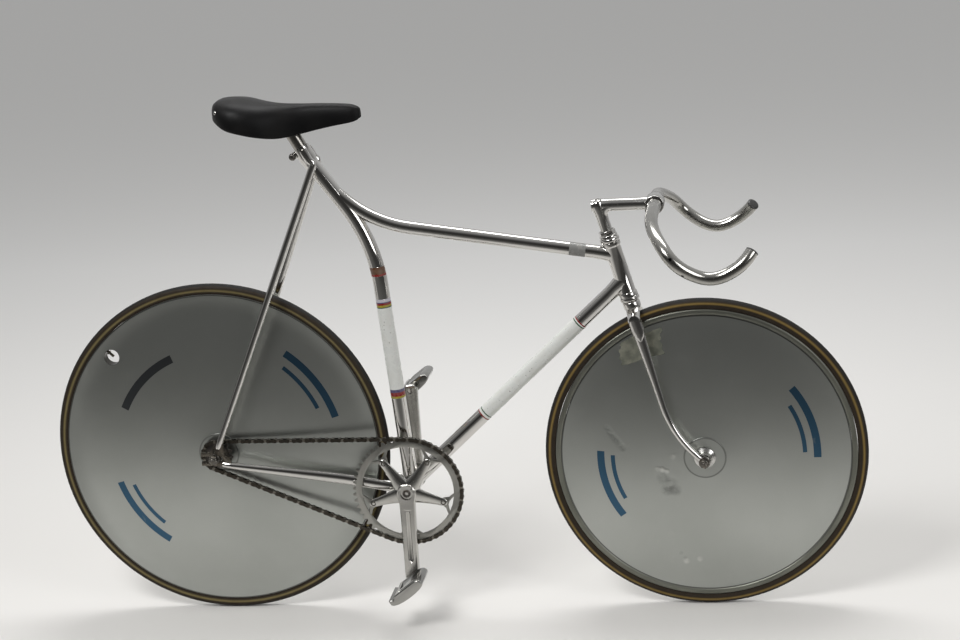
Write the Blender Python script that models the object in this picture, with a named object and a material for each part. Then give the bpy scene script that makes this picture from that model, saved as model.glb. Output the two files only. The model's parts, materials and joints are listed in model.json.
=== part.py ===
"""Track bicycle: curved steel frame, two lenticular disc wheels, fixed gear and cow-horn bars.

Metres. X points forward, Y to the rider's left and Z up, with the origin on top of the saddle. The pieces
are laid out in the frame builder's way, from the bottom bracket's axis, which the object "bicycle" carries.
"""

import math

import bmesh
import bpy
from mathutils import Matrix, Vector

# Clearances
GAP = 0.0003
RUNNING_GAP = 0.0005
OVERRUN = 0.004

# Facets
TUBE_SIDES = 16
STAY_SIDES = 12
BAR_SIDES = 12
BAR_STEPS = 2
WHEEL_STEPS = 44
HUB_STEPS = 20
SMALL_STEPS = 12
BEND_STEP = math.radians(7)
SMOOTH_ANGLE = math.radians(38)

# Wheels
REAR_WHEEL_RADIUS = 0.334
FRONT_WHEEL_RADIUS = 0.304
TYRE_HALF_WIDTH = 0.0105
RIM_DEPTH = 0.017
RIM_HALF_WIDTH = 0.0095
REAR_DISC_HUB_HALF = 0.031
FRONT_DISC_HUB_HALF = 0.028
DISC_HUB_RADIUS = 0.040
FLANGE_LIP = 0.0016
HUB_BARREL_RADIUS = 0.020
HUB_END_RADIUS = 0.0125
FRONT_HUB_HALF = 0.0455
REAR_HUB_HALF = 0.0550
AXLE_RADIUS = 0.005
CONE_RADIUS = 0.0085
FRONT_DROPOUT_HALF = 0.050
REAR_DROPOUT_HALF = 0.060
NUT_ACROSS_FLATS = 0.015
NUT_HEIGHT = 0.0095
WASHER_RADIUS = 0.0105
WASHER_THICKNESS = 0.0022
AXLE_STUB = 0.0045
VALVE_HOLE_RADIUS = 0.0155
VALVE_HOLE_FROM_RIM = 0.034
VALVE_STEM_RADIUS = 0.003
REAR_VALVE_ANGLE = math.radians(136.0)

# Gear and chain
CHAIN_PITCH = 0.0127
CHAIN_LINKS = 94
RING_TEETH = 52
COG_TEETH = 14
BOTTOM_BRACKET_DROP = 0.0803
CHAIN_LINE = 0.043
RING_THICKNESS = 0.0028
TOOTH_HEIGHT = 0.0030
ROLLER_RADIUS = 0.0039
CHAIN_INNER_HALF = 0.0018
CHAIN_MIDDLE_HALF = 0.0030
CHAIN_OUTER_HALF = 0.0043
PLATE_HALF_HEIGHT = 0.0042
PLATE_WAIST_HALF = 0.0028
RING_RIM_DEPTH = 0.0115
COG_HUB_RADIUS = 0.0205
COG_HUB_WIDTH = 0.0055

# Cranks and pedals
CRANK_LENGTH = 0.170
SPINDLE_RADIUS = 0.0085
SPINDLE_HALF = 0.056
CRANK_BOSS_RADIUS = 0.0185
CRANK_INNER_HALF = 0.0395
CRANK_THICKNESS = 0.0135
CRANK_ARM_AT_BOSS = 0.0550
CRANK_ARM_AT_EYE = 0.0640
BOLTS = 5
BOLT_CIRCLE_RADIUS = 0.072
SPIDER_ARM_HALF = 0.0085
SPIDER_TIP_RADIUS = 0.0085
SPIDER_THICKNESS = 0.0055
RING_TAB_RADIUS = 0.0085
PEDAL_AXLE_RADIUS = 0.0055
PEDAL_AXLE_COLLAR = 0.0085
PEDAL_COLLAR_LENGTH = 0.006
PEDAL_AXLE_LENGTH = 0.058
PEDAL_WIDTH = 0.066
PEDAL_LENGTH = 0.080
PEDAL_BARREL_RADIUS = 0.0115
PEDAL_TILT = math.radians(36.0)
PEDAL_SHELL_DROP = 0.014

# Bottom bracket
SHELL_RADIUS = 0.0200
SHELL_HALF = 0.034
CUP_RADIUS = 0.0215
CUP_FLANGE = 0.003
CUP_THREAD_RADIUS = 0.0172
CUP_DEPTH = 0.016

# Frame tubes
TOP_TUBE_RADIUS = 0.0127
MAIN_TUBE_RADIUS = 0.0143
HEAD_TUBE_RADIUS = 0.0159
HEAD_TUBE_BORE = 0.0148
COLLAR_STEP = 0.0016
COLLAR_LENGTH = 0.007
FILLET_REACH = 0.012
FILLET_STEP = 0.0022
FRONT_CENTRE = 0.570
HEAD_ANGLE = math.radians(74.5)
FORK_RAKE = 0.041
CROWN_ABOVE_TYRE = 0.012
HEAD_TUBE_START = 0.0192
HEAD_TUBE_LENGTH = 0.1085
SEAT_LOWER_LENGTH = 0.4858
SEAT_LOWER_TILT = math.radians(3.9)
SEAT_MIDDLE_LENGTH = 0.1866
SEAT_MIDDLE_TILT = math.radians(34.9)
SEAT_UPPER_LENGTH = 0.0365
SEAT_UPPER_TILT = math.radians(28.4)
SEAT_BEND_RADIUS = 0.316
SEAT_ELBOW_RADIUS = 0.055
SEAT_LUG_RADIUS = 0.0162
SEAT_LUG_LENGTH = 0.026
TOP_TUBE_RISE = math.radians(41.9)
TOP_TUBE_RISE_LENGTH = 0.0994
TOP_TUBE_BEND_RADIUS = 0.2366
TOP_TUBE_BELOW_HEAD_TOP = 0.0249
TOP_TUBE_JOIN_SHARE = 0.66
DOWN_TUBE_ABOVE_HEAD_END = 0.031

# Stays and track ends
CHAIN_STAY_HALF_HEIGHT = 0.0110
CHAIN_STAY_HALF_WIDTH = 0.0070
CHAIN_STAY_END_HALF = 0.0062
CHAIN_STAY_AT_SHELL = 0.0235
CHAIN_STAY_AT_BEND = 0.0285
CHAIN_STAY_BEND_X = -0.125
CHAIN_STAY_BEND_RADIUS = 0.30
CHAIN_STAY_SHELL_DROP = 0.004
CHAIN_STAY_AXLE_DROP = 0.008
SEAT_STAY_TOP_RADIUS = 0.0078
SEAT_STAY_END_RADIUS = 0.0060
SEAT_STAY_CAP_LENGTH = 0.036
SEAT_STAY_TOP_HALF = 0.0200
SEAT_STAY_CAP_HALF = 0.0052
SEAT_STAY_TAPER_END_SHARE = 0.35
SEAT_STAY_CAP_INSET = 0.0045
SEAT_STAY_CAP_FORWARD = 0.0058
TRACK_END_THICKNESS = 0.0055
TRACK_END_BACK = 0.026
TRACK_END_HALF_HEIGHT = 0.0135
TRACK_SLOT_HALF = 0.0054
TRACK_SLOT_FRONT = 0.012
CHAIN_TAB_REACH = 0.034
CHAIN_TAB_HALF = 0.0058
SEAT_TAB_REACH = 0.036
SEAT_TAB_HALF = 0.0055

# Seat post and saddle
POST_RADIUS = 0.0132
POST_INSERTION = 0.034
POST_EXPOSED = 0.042
CLAMP_HALF_LENGTH = 0.016
CLAMP_BESIDE_RAIL = 0.0045
CLAMP_ABOVE_RAIL = 0.0040
RAIL_RADIUS = 0.0035
RAIL_HALF_SPAN = 0.018
RAIL_NOSE_HALF = 0.008
BINDER_RADIUS = 0.0042
BINDER_HEAD_RADIUS = 0.0060
BINDER_EAR_RADIUS = 0.0070
BINDER_EAR_HALF = 0.0098
BINDER_BEHIND_POST = 0.0215
BINDER_BELOW_TOP = 0.0072
SADDLE_LENGTH = 0.281
SADDLE_HALF_WIDTH = 0.071
SADDLE_BEHIND_CLAMP = 0.13986
SADDLE_ABOVE_CLAMP = 0.06323
SADDLE_DEPTH = 0.050

# Fork, headset and stem
CROWN_HALF_WIDTH = 0.0435
CROWN_HALF_DEPTH = 0.0125
CROWN_CENTRE_HEIGHT = 0.0095
CROWN_SHOULDER_DROP = 0.036
BLADE_TOP_HALF = 0.0335
BLADE_END_HALF = 0.0525
BLADE_TOP_DEPTH = 0.0122
BLADE_TOP_WIDTH = 0.0088
BLADE_END_RADIUS = 0.0060
BLADE_BEND_RADIUS = 0.216
BLADE_BEND_ANGLE = math.radians(32.4)
TYRE_CLEARANCE = 0.005
FORK_END_THICKNESS = 0.005
FORK_END_RADIUS = 0.0115
STEERER_RADIUS = 0.0127
STEERER_TOP_INSET = 0.002
STEERER_BORE = 0.0114
CUP_FLANGE_RADIUS = 0.0184
CUP_FLANGE_HEIGHT = 0.0085
CUP_INSERTION = 0.010
RACE_RADIUS = 0.0160
RACE_GAP = 0.001
LOCKNUT_RADIUS = 0.0158
ADJUSTER_RADIUS = 0.0170
HEADSET_TOP_HEIGHT = 0.0230
QUILL_RADIUS = 0.0111
QUILL_INSERTION = 0.060
STEM_HEIGHT = 0.1998
STEM_HEAD_RADIUS = 0.0130
STEM_EXTENSION = 0.1045
STEM_HALF_HEIGHT = 0.0120
STEM_HALF_WIDTH = 0.0112
STEM_CLAMP_RADIUS = 0.0178
STEM_CLAMP_HALF = 0.0195

# Handlebar
BAR_RADIUS = 0.0119
BAR_SLEEVE_RADIUS = 0.0128
BAR_SLEEVE_HALF = 0.040
BAR_REACH = 0.1752
BAR_DROP = 0.0939
BAR_HALF_WIDTH = 0.2228
BAR_PLUG_THICKNESS = 0.004

# Control points of the bar's curve, as shares of its reach, half span and drop
BAR_CURVE_SHARES = (
    (0.000, 0.197, 0.000),
    (0.000, 0.287, 0.000),
    (-0.016, 0.649, -0.096),
    (0.119, 0.955, -0.363),
    (0.237, 1.021, -0.678),
    (0.434, 0.961, -0.941),
    (0.644, 0.937, -1.059),
    (0.907, 0.950, -0.778),
    (1.000, 0.890, -0.554),
)

# Longest bend of a fork blade, as a share of the room its two straight runs leave
BEND_ROOM_SHARE = 0.98

# Fork crown across its width: places of its sections, how far they drop, and how deep and high they are
CROWN_STATION_SHARES = (-1.0, -0.9, -0.62, -0.3, 0.3, 0.62, 0.9, 1.0)
CROWN_DROP_SHARES = ((0.0, 0.0), (0.3, 0.0), (0.62, 0.72), (0.9, 1.0), (1.0, 1.0))
CROWN_DEPTH_SHARES = ((0.0, 1.0), (0.9, 1.0), (1.0, 0.72))
CROWN_HEIGHT_SHARES = ((0.0, 1.0), (0.9, 1.0), (1.0, 0.9))
CROWN_TOP_DROP_SHARE = 1.1

# Crank arm along its length: station, half width of the boss radius, thickness
CRANK_ARM_SHARES = (
    (-0.105, 0.45, 0.60),
    (-0.070, 0.85, 0.90),
    (0.000, 1.00, 1.00),
    (0.090, 0.86, 1.00),
    (0.180, 0.80, 1.00),
    (0.500, 0.755, 0.95),
    (0.900, 0.74, 0.92),
    (1.000, 0.74, 0.92),
    (1.045, 0.62, 0.85),
    (1.072, 0.34, 0.60),
)

# Corners cut off a crank arm's section and off the fork crown's
ARM_CUT_SHARE = 0.35
CROWN_CUT_SHARE = 0.45

# One spider arm: share of the bolt circle, then shares of its tip's radius outwards and sideways
SPIDER_ROOT_SHARE = 0.55
SPIDER_TIP_SHARES = ((0.0, 1.0), (0.7, 0.7), (1.0, 0.0))
SPIDER_VALLEY_SHARE = 1.15

# Pedal from the side: top deck, front and rear edge, as shares of its half length and of its deck's height
PEDAL_DECK_SHARE = 0.9
PEDAL_DECK_SHARES = ((-1.0, 1.0), (0.9, 1.0), (1.05, 0.4))
PEDAL_SHELL_START_SHARE = 0.2
PEDAL_TAIL_SHARES = (-1.02, 0.3)

# Saddle rail: its rear and nose places along the saddle, its rise in the saddle's depth, and its bends
RAIL_REAR_SHARE = 0.13
RAIL_REAR_RUN_SHARE = 0.12
RAIL_NOSE_SHARE = 0.90
RAIL_LIFT_SHARE = 0.30
RAIL_NOSE_LIFT_SHARE = 0.8
RAIL_REAR_SPREAD_SHARE = 1.7
RAIL_STRAIGHT_SHARE = 1.8
RAIL_BEND_SHARES = (4, 6)
RAIL_NOSE_BEND_SHARE = 0.95

# Tyre: depth of the casing over its half width, how far round it is seen, and the width of its seat
TYRE_DEPTH_SHARE = 1.9
TYRE_ARC_SHARE = 1.12
TYRE_SEAT_SHARE = 0.7

# Ends of the bar's centre sleeve and of its two tapers
SLEEVE_SHARES = (-1.00, -0.93, 0.93, 1.00)

# Angles of the chainring's plain rim, as shares of the angle between bolts
RIM_ARC_SHARES = (-0.80, -0.70, -0.60, -0.50, -0.40, -0.30, -0.20)

# One side of a bolt tab: share of the angle between bolts, then of the tab's radius beyond the bolt circle
RING_TAB_SHARES = ((-0.200, 2.10), (-0.115, 0.95), (-0.094, 0.10), (-0.070, -0.66), (0.0, -1.0))
RING_FORK_WIDE_SHARE = 0.145
RING_FORK_NARROW_SHARE = 0.040
RING_FORK_NEAR_SHARE = 1.25

# Places along a disc's flank where its section bends, and how far it bulges there
DISC_BULGE_SHARES = (0.33, 0.67)
DISC_BULGE_SHARE = 0.16

# Saddle sections from the rear to the nose: station, half width, top below the highest point, depth
SADDLE_SECTION_SHARES = (
    (0.000, 0.30, 0.48, 0.34),
    (0.035, 0.64, 0.25, 0.62),
    (0.110, 0.92, 0.09, 0.95),
    (0.210, 1.00, 0.02, 1.18),
    (0.330, 0.86, 0.20, 1.20),
    (0.450, 0.56, 0.31, 1.17),
    (0.580, 0.35, 0.37, 1.05),
    (0.720, 0.27, 0.40, 0.90),
    (0.860, 0.25, 0.45, 0.72),
    (0.950, 0.22, 0.54, 0.56),
    (1.000, 0.12, 0.74, 0.26),
)

# Outline of one saddle section: share of the half width and share of the depth below its top
SADDLE_RING_SHARES = (
    (0.00, 0.00),
    (0.45, 0.03),
    (0.78, 0.14),
    (0.96, 0.36),
    (1.00, 0.66),
    (0.97, 1.00),
    (0.90, 1.00),
    (0.88, 0.66),
    (0.60, 0.36),
    (0.00, 0.26),
)

# How far a chain stay has tapered from its front size to its rear size along its length
STAY_TAPER_SHARES = ((0.0, 0.0), (0.4, 0.0), (1.0, 1.0))

# Fork blade thickness along its length: station and share of the way from the top size to the end size
BLADE_TAPER_SHARES = ((0.0, 0.0), (0.12, 0.3), (0.25, 0.52), (0.4, 0.76), (0.7, 0.95), (1.0, 1.0))

FINISHES = {
    "chrome": ((0.80, 0.79, 0.76), 1.0, 0.08),
    "polished_alloy": ((0.78, 0.77, 0.74), 1.0, 0.22),
    "anodised_alloy": ((0.55, 0.54, 0.51), 1.0, 0.35),
    "satin_disc": ((0.40, 0.43, 0.42), 0.55, 0.38),
    "tyre_rubber": ((0.035, 0.030, 0.026), 0.0, 0.65),
    "black_leather": ((0.012, 0.012, 0.013), 0.0, 0.38),
    "dark_steel": ((0.10, 0.085, 0.07), 0.85, 0.42),
    "black_plastic": ((0.02, 0.02, 0.02), 0.0, 0.45),
}


# Scene and materials

def clear_scene():
    """Starts from an empty scene."""
    for old in list(bpy.data.objects):
        bpy.data.objects.remove(old, do_unlink=True)


def finish_material(key):
    """The Principled material of one finish, made once."""
    if key in bpy.data.materials:
        return bpy.data.materials[key]
    colour, metallic, roughness = FINISHES[key]
    material = bpy.data.materials.new(key)
    material.use_nodes = True
    shader = material.node_tree.nodes["Principled BSDF"]
    shader.inputs["Base Color"].default_value = (*colour, 1.0)
    shader.inputs["Metallic"].default_value = metallic
    shader.inputs["Roughness"].default_value = roughness
    material.diffuse_color = (*colour, 1.0)
    return material


def axis_empty(name, parent, place, tilt=0.0):
    """An empty on an axis, turned about Y by tilt, that carries the pieces of one group."""
    empty = bpy.data.objects.new(name, None)
    empty.parent = parent
    empty.location = place
    empty.rotation_euler = (0.0, tilt, 0.0)
    bpy.context.scene.collection.objects.link(empty)
    return empty


def put(name, mesh, parent, finish=None, place=(0.0, 0.0, 0.0), turn=(0.0, 0.0, 0.0)):
    """Turns a bmesh into an object under its parent. Without a finish it is a hidden cutter."""
    data = bpy.data.meshes.new(name)
    mesh.to_mesh(data)
    mesh.free()
    piece = bpy.data.objects.new(name, data)
    piece.parent = parent
    piece.location = place
    piece.rotation_euler = turn
    bpy.context.scene.collection.objects.link(piece)
    if finish is None:
        piece.hide_render = True
        piece.display_type = "WIRE"
        return piece
    data.materials.append(finish_material(finish))
    data.shade_smooth()
    data.set_sharp_from_angle(angle=SMOOTH_ANGLE)
    return piece


def combine(piece, other, operation):
    """Cuts, joins or keeps the overlap of a piece with another body."""
    modifier = piece.modifiers.new(other.name, "BOOLEAN")
    modifier.operation = operation
    modifier.object = other
    modifier.solver = "EXACT"


# Mesh forms

def loft(rings, closed=False):
    """Skins rings of equal length into one closed body, capped unless the last ring meets the first."""
    mesh = bmesh.new()
    rows = [[mesh.verts.new(point) for point in ring] for ring in rings]
    pairs = list(zip(rows, rows[1:]))
    if closed:
        pairs.append((rows[-1], rows[0]))
    for near, far in pairs:
        for i in range(len(near)):
            j = (i + 1) % len(near)
            mesh.faces.new((near[i], near[j], far[j], far[i]))
    if not closed:
        mesh.faces.new(list(reversed(rows[0])))
        mesh.faces.new(rows[-1])
    bmesh.ops.recalc_face_normals(mesh, faces=mesh.faces)
    return mesh


def turned(profile, steps):
    """Spins a closed profile of (radius, y) points about Y, as a ring with a bore."""
    mesh = bmesh.new()
    points = [mesh.verts.new((radius, y, 0.0)) for radius, y in profile]
    edges = [mesh.edges.new((points[i], points[(i + 1) % len(points)])) for i in range(len(points))]
    bmesh.ops.spin(
        mesh,
        geom=points + edges,
        cent=(0.0, 0.0, 0.0),
        axis=(0.0, 1.0, 0.0),
        angle=2 * math.pi,
        steps=steps,
        use_merge=True,
    )
    bmesh.ops.recalc_face_normals(mesh, faces=mesh.faces)
    return mesh


def turned_solid(profile, steps):
    """Stacks discs of (radius, y) along Y into one solid turned body."""
    rings = []
    for radius, y in profile:
        rings.append(oval(Vector((0.0, y, 0.0)), Vector((1, 0, 0)), Vector((0, 0, 1)), radius, radius, steps))
    return loft(rings)


def pin_mesh(radius, half, steps):
    """A plain round pin about Y, as long to both sides of the origin."""
    return turned_solid([(radius, -half), (radius, half)], steps)


def along_z(mesh):
    """Turns a body made about Y so that it stands on Z."""
    bmesh.ops.rotate(mesh, verts=mesh.verts, cent=(0, 0, 0), matrix=Matrix.Rotation(math.radians(90), 3, "X"))
    return mesh


def oval(centre, across, up, half_across, half_up, sides):
    """Points around an oval."""
    points = []
    for i in range(sides):
        angle = 2 * math.pi * (i + 0.5) / sides
        offset = across * (half_across * math.cos(angle)) + up * (half_up * math.sin(angle))
        points.append(centre + offset)
    return points


def plate(outline, thickness, y=0.0):
    """A flat plate: an outline of (x, z) points, centred on y and as thick as given along Y."""
    mesh = bmesh.new()
    face = mesh.faces.new([mesh.verts.new((x, y - thickness / 2, z)) for x, z in outline])
    grown = bmesh.ops.extrude_face_region(mesh, geom=[face])
    moved = [item for item in grown["geom"] if isinstance(item, bmesh.types.BMVert)]
    bmesh.ops.translate(mesh, verts=moved, vec=(0.0, thickness, 0.0))
    bmesh.ops.recalc_face_normals(mesh, faces=mesh.faces)
    return mesh


def rounded_path(corners, radii):
    """Points along straight runs whose inner corners are rounded by the given radii."""
    points = [corners[0].copy()]
    for i in range(1, len(corners) - 1):
        back = (corners[i - 1] - corners[i]).normalized()
        on = (corners[i + 1] - corners[i]).normalized()
        bend = math.pi - back.angle(on)
        reach = radii[i - 1] * math.tan(bend / 2)
        centre = corners[i] + (back + on).normalized() * (radii[i - 1] / math.cos(bend / 2))
        start = corners[i] + back * reach - centre
        turn_axis = back.cross(on).normalized()
        steps = max(2, math.ceil(bend / BEND_STEP))
        for k in range(steps + 1):
            points.append(centre + Matrix.Rotation(-bend * k / steps, 3, turn_axis) @ start)
    points.append(corners[-1].copy())
    return points


def lengths_along(path):
    """Share of the path's length at each of its points."""
    total = [0.0]
    for a, b in zip(path, path[1:]):
        total.append(total[-1] + (b - a).length)
    return [value / total[-1] for value in total]


def blend(table, share):
    """Reads a table of (share, value) points at a share between them."""
    for (s0, v0), (s1, v1) in zip(table, table[1:]):
        if share <= s1:
            return v0 + (v1 - v0) * (share - s0) / (s1 - s0)
    return table[-1][1]


def sweep(path, sizes, sides, across=None, closed=False):
    """A tube along a path. Each size is (half across, half up); across is the fixed sideways direction."""
    rings = []
    count = len(path)
    side = across
    for i, point in enumerate(path):
        before = path[(i - 1) % count] if closed or i else path[0]
        after = path[(i + 1) % count] if closed or i < count - 1 else path[-1]
        ahead = (after - before).normalized()
        if across is None:
            side = Vector((1, 0, 0)) if side is None else side
            side = (side - ahead * side.dot(ahead)).normalized()
        level = (side - ahead * side.dot(ahead)).normalized()
        rings.append(oval(point, level, ahead.cross(level), sizes[i][0], sizes[i][1], sides))
    return loft(rings, closed)


def tube(name, path, sizes, sides, parent, finish, across=None):
    """A swept tube whose object's origin is the path's first point."""
    start = path[0]
    return put(name, sweep([p - start for p in path], sizes, sides, across), parent, finish, start)


def rod(start, end, radius, sides):
    """A plain round rod between two points."""
    side = (end - start).orthogonal().normalized()
    return sweep([start, end], [(radius, radius)] * 2, sides, side)


# Places that several pieces share, from the bottom bracket's axis

LEFT = Vector((0.0, 1.0, 0.0))


def pitch_radius(teeth):
    """Radius of the circle on which a sprocket carries the chain's pins."""
    return CHAIN_PITCH / (2 * math.sin(math.pi / teeth))


def links_for(distance):
    """Pitches in a chain around both sprockets whose axles are this far apart."""
    lean = math.asin((pitch_radius(RING_TEETH) - pitch_radius(COG_TEETH)) / distance)
    straight = distance * math.cos(lean)
    on_ring = (math.pi + 2 * lean) / (2 * math.pi / RING_TEETH)
    on_cog = (math.pi - 2 * lean) / (2 * math.pi / COG_TEETH)
    return on_ring + on_cog + 2 * straight / CHAIN_PITCH


def axle_distance():
    """Distance from the crank's axis to the rear axle at which the chain closes, by halving."""
    low = pitch_radius(RING_TEETH) + pitch_radius(COG_TEETH)
    high = low + CHAIN_LINKS * CHAIN_PITCH
    for _ in range(60):
        middle = (low + high) / 2
        if links_for(middle) < CHAIN_LINKS:
            low = middle
        else:
            high = middle
    return low


def tilted(length, tilt):
    """A run of this length that leans back from the vertical by tilt."""
    return Vector((-math.sin(tilt) * length, 0.0, math.cos(tilt) * length))


AXLE_DISTANCE = axle_distance()
REAR_AXLE = Vector((-math.sqrt(AXLE_DISTANCE**2 - BOTTOM_BRACKET_DROP**2), 0.0, BOTTOM_BRACKET_DROP))
FRONT_AXLE = Vector((FRONT_CENTRE, 0.0, BOTTOM_BRACKET_DROP - REAR_WHEEL_RADIUS + FRONT_WHEEL_RADIUS))
FORK_LENGTH = FRONT_WHEEL_RADIUS + CROWN_ABOVE_TYRE
HEAD_TILT = math.radians(90) - HEAD_ANGLE
HEAD_UP = Vector((-math.sin(HEAD_TILT), 0.0, math.cos(HEAD_TILT)))
HEAD_FORWARD = Vector((math.cos(HEAD_TILT), 0.0, math.sin(HEAD_TILT)))
CROWN_SEAT = FRONT_AXLE - HEAD_FORWARD * FORK_RAKE + HEAD_UP * FORK_LENGTH
HEAD_TUBE_END = HEAD_TUBE_START + HEAD_TUBE_LENGTH
AXLE_IN_FORK = Vector((FORK_RAKE, 0.0, -FORK_LENGTH))

SEAT_CORNER = tilted(SEAT_LOWER_LENGTH, SEAT_LOWER_TILT)
SEAT_ELBOW = SEAT_CORNER + tilted(SEAT_MIDDLE_LENGTH, SEAT_MIDDLE_TILT)
SEAT_TOP = SEAT_ELBOW + tilted(SEAT_UPPER_LENGTH, SEAT_UPPER_TILT)
SEAT_UP = tilted(1.0, SEAT_UPPER_TILT)
POST_TOP = SEAT_TOP + SEAT_UP * POST_EXPOSED
SADDLE_REAR_X = POST_TOP.x - SADDLE_BEHIND_CLAMP
SADDLE_TOP_Z = POST_TOP.z + SADDLE_ABOVE_CLAMP
CREST_SHARE, _, CREST_BELOW, _ = min(SADDLE_SECTION_SHARES, key=lambda section: section[2])
RIDER = Vector((SADDLE_REAR_X + SADDLE_LENGTH * CREST_SHARE, 0.0, SADDLE_TOP_Z - SADDLE_DEPTH * CREST_BELOW))


def seat_tube_path():
    """The seat tube's centre line, from the bottom bracket's axis to its top."""
    corners = [Vector((0, 0, 0)), SEAT_CORNER, SEAT_ELBOW, SEAT_TOP]
    return rounded_path(corners, [SEAT_BEND_RADIUS, SEAT_ELBOW_RADIUS])


def top_tube_corners():
    """Head end, corner and seat end of the top tube."""
    head = CROWN_SEAT + HEAD_UP * (HEAD_TUBE_END - TOP_TUBE_BELOW_HEAD_TOP)
    seat = SEAT_CORNER.lerp(SEAT_ELBOW, TOP_TUBE_JOIN_SHARE)
    fall = Vector((math.cos(TOP_TUBE_RISE), 0.0, -math.sin(TOP_TUBE_RISE)))
    return [head, seat + fall * TOP_TUBE_RISE_LENGTH, seat]


def filleted_sizes(path, radius, starts=True, ends=False):
    """Round tube sizes that swell a little where the tube is brazed at its start or its end."""
    total = sum((b - a).length for a, b in zip(path, path[1:]))
    sizes = []
    for share in lengths_along(path):
        reach = min(share if starts else 1.0, 1.0 - share if ends else 1.0) * total
        swell = max(0.0, 1.0 - reach / (FILLET_REACH + HEAD_TUBE_RADIUS)) * FILLET_STEP
        sizes.append((radius + swell, radius + swell))
    return sizes


def with_stations(path, distances):
    """Adds points to a path's first straight run, at these distances from its start."""
    ahead = (path[1] - path[0]).normalized()
    extra = [path[0] + ahead * distance for distance in distances]
    return [path[0]] + extra + path[1:]


# Frame

def head_tube_side(grown):
    """Outside of the head tube with its two collars, from bottom to top, grown by a gap."""
    start = HEAD_TUBE_START
    end = HEAD_TUBE_END
    radius = HEAD_TUBE_RADIUS + grown
    collar = radius + COLLAR_STEP
    return [
        (collar, start - grown),
        (collar, start + COLLAR_LENGTH + grown),
        (radius, start + COLLAR_LENGTH + COLLAR_STEP + grown),
        (radius, end - COLLAR_LENGTH - COLLAR_STEP - grown),
        (collar, end - COLLAR_LENGTH - grown),
        (collar, end + grown),
    ]


def build_head_tube(axis):
    """Head tube with a thick collar at each end, bored for the steerer."""
    profile = [(HEAD_TUBE_BORE, HEAD_TUBE_START)] + head_tube_side(0.0) + [(HEAD_TUBE_BORE, HEAD_TUBE_END)]
    return put("head_tube", along_z(turned(profile, HUB_STEPS)), axis, "chrome")


def build_seat_tube(bike):
    """Curved seat tube with the seat lug at its top, bored for the post."""
    path = seat_tube_path()
    run = (SEAT_TOP - path[-2]).length
    lug_start = SEAT_TOP - SEAT_UP * min(SEAT_LUG_LENGTH, run * TOP_TUBE_JOIN_SHARE)
    path = path[:-1] + [lug_start]
    sizes = [(MAIN_TUBE_RADIUS, MAIN_TUBE_RADIUS)] * len(path) + [(SEAT_LUG_RADIUS, SEAT_LUG_RADIUS)] * 2
    path += [lug_start + SEAT_UP * COLLAR_STEP, SEAT_TOP]
    piece = tube("seat_tube", path, sizes, TUBE_SIDES, bike, "chrome", LEFT)
    ears = pin_mesh(BINDER_EAR_RADIUS, BINDER_EAR_HALF, SMALL_STEPS)
    combine(piece, put("seat_lug_ears", ears, bike, None, binder_centre()), "UNION")
    bore = rod(SEAT_TOP - SEAT_UP * (POST_INSERTION + GAP), SEAT_TOP + SEAT_UP * OVERRUN,
               POST_RADIUS + GAP, TUBE_SIDES)
    combine(piece, put("seat_tube_bore", bore, bike), "DIFFERENCE")
    hole = pin_mesh(BINDER_RADIUS + GAP, BINDER_EAR_HALF + OVERRUN, SMALL_STEPS)
    combine(piece, put("binder_bore", hole, bike, None, binder_centre()), "DIFFERENCE")
    shell = pin_mesh(SHELL_RADIUS + GAP, SHELL_HALF, HUB_STEPS)
    combine(piece, put("seat_tube_foot", shell, bike), "DIFFERENCE")
    return piece


def build_top_tube(bike, head_cutter, seat_cutter):
    """Top tube that sweeps up into the seat tube."""
    path = rounded_path(top_tube_corners(), [TOP_TUBE_BEND_RADIUS])
    path = with_stations(path, [HEAD_TUBE_RADIUS, HEAD_TUBE_RADIUS + FILLET_REACH])
    sizes = filleted_sizes(path, TOP_TUBE_RADIUS)
    piece = tube("top_tube", path, sizes, TUBE_SIDES, bike, "chrome", LEFT)
    combine(piece, head_cutter, "DIFFERENCE")
    combine(piece, seat_cutter, "DIFFERENCE")
    return piece


def build_down_tube(bike, head_cutter, seat_cutter, shell_cutter):
    """Straight down tube from the head tube to the bottom bracket."""
    head = CROWN_SEAT + HEAD_UP * (HEAD_TUBE_START + DOWN_TUBE_ABOVE_HEAD_END)
    path = with_stations([head, Vector((0, 0, 0))], [HEAD_TUBE_RADIUS, HEAD_TUBE_RADIUS + FILLET_REACH])
    sizes = filleted_sizes(path, MAIN_TUBE_RADIUS)
    piece = tube("down_tube", path, sizes, TUBE_SIDES, bike, "chrome", LEFT)
    for cutter in (head_cutter, seat_cutter, shell_cutter):
        combine(piece, cutter, "DIFFERENCE")
    return piece


def build_bottom_bracket(bike, shell_bore):
    """Bottom bracket shell and its two cups."""
    profile = [
        (CUP_THREAD_RADIUS + GAP, -SHELL_HALF),
        (SHELL_RADIUS, -SHELL_HALF),
        (SHELL_RADIUS, SHELL_HALF),
        (CUP_THREAD_RADIUS + GAP, SHELL_HALF),
    ]
    put("bottom_bracket_shell", turned(profile, HUB_STEPS), bike, "chrome")
    for side, sign in (("right", -1), ("left", 1)):
        face = sign * (SHELL_HALF + GAP)
        cup = [
            (shell_bore, sign * (SHELL_HALF - CUP_DEPTH)),
            (CUP_THREAD_RADIUS, sign * (SHELL_HALF - CUP_DEPTH)),
            (CUP_THREAD_RADIUS, face),
            (CUP_RADIUS, face),
            (CUP_RADIUS, face + sign * CUP_FLANGE),
            (shell_bore, face + sign * CUP_FLANGE),
        ]
        put("bottom_bracket_cup_" + side, turned(cup, HUB_STEPS), bike, "chrome")


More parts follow.
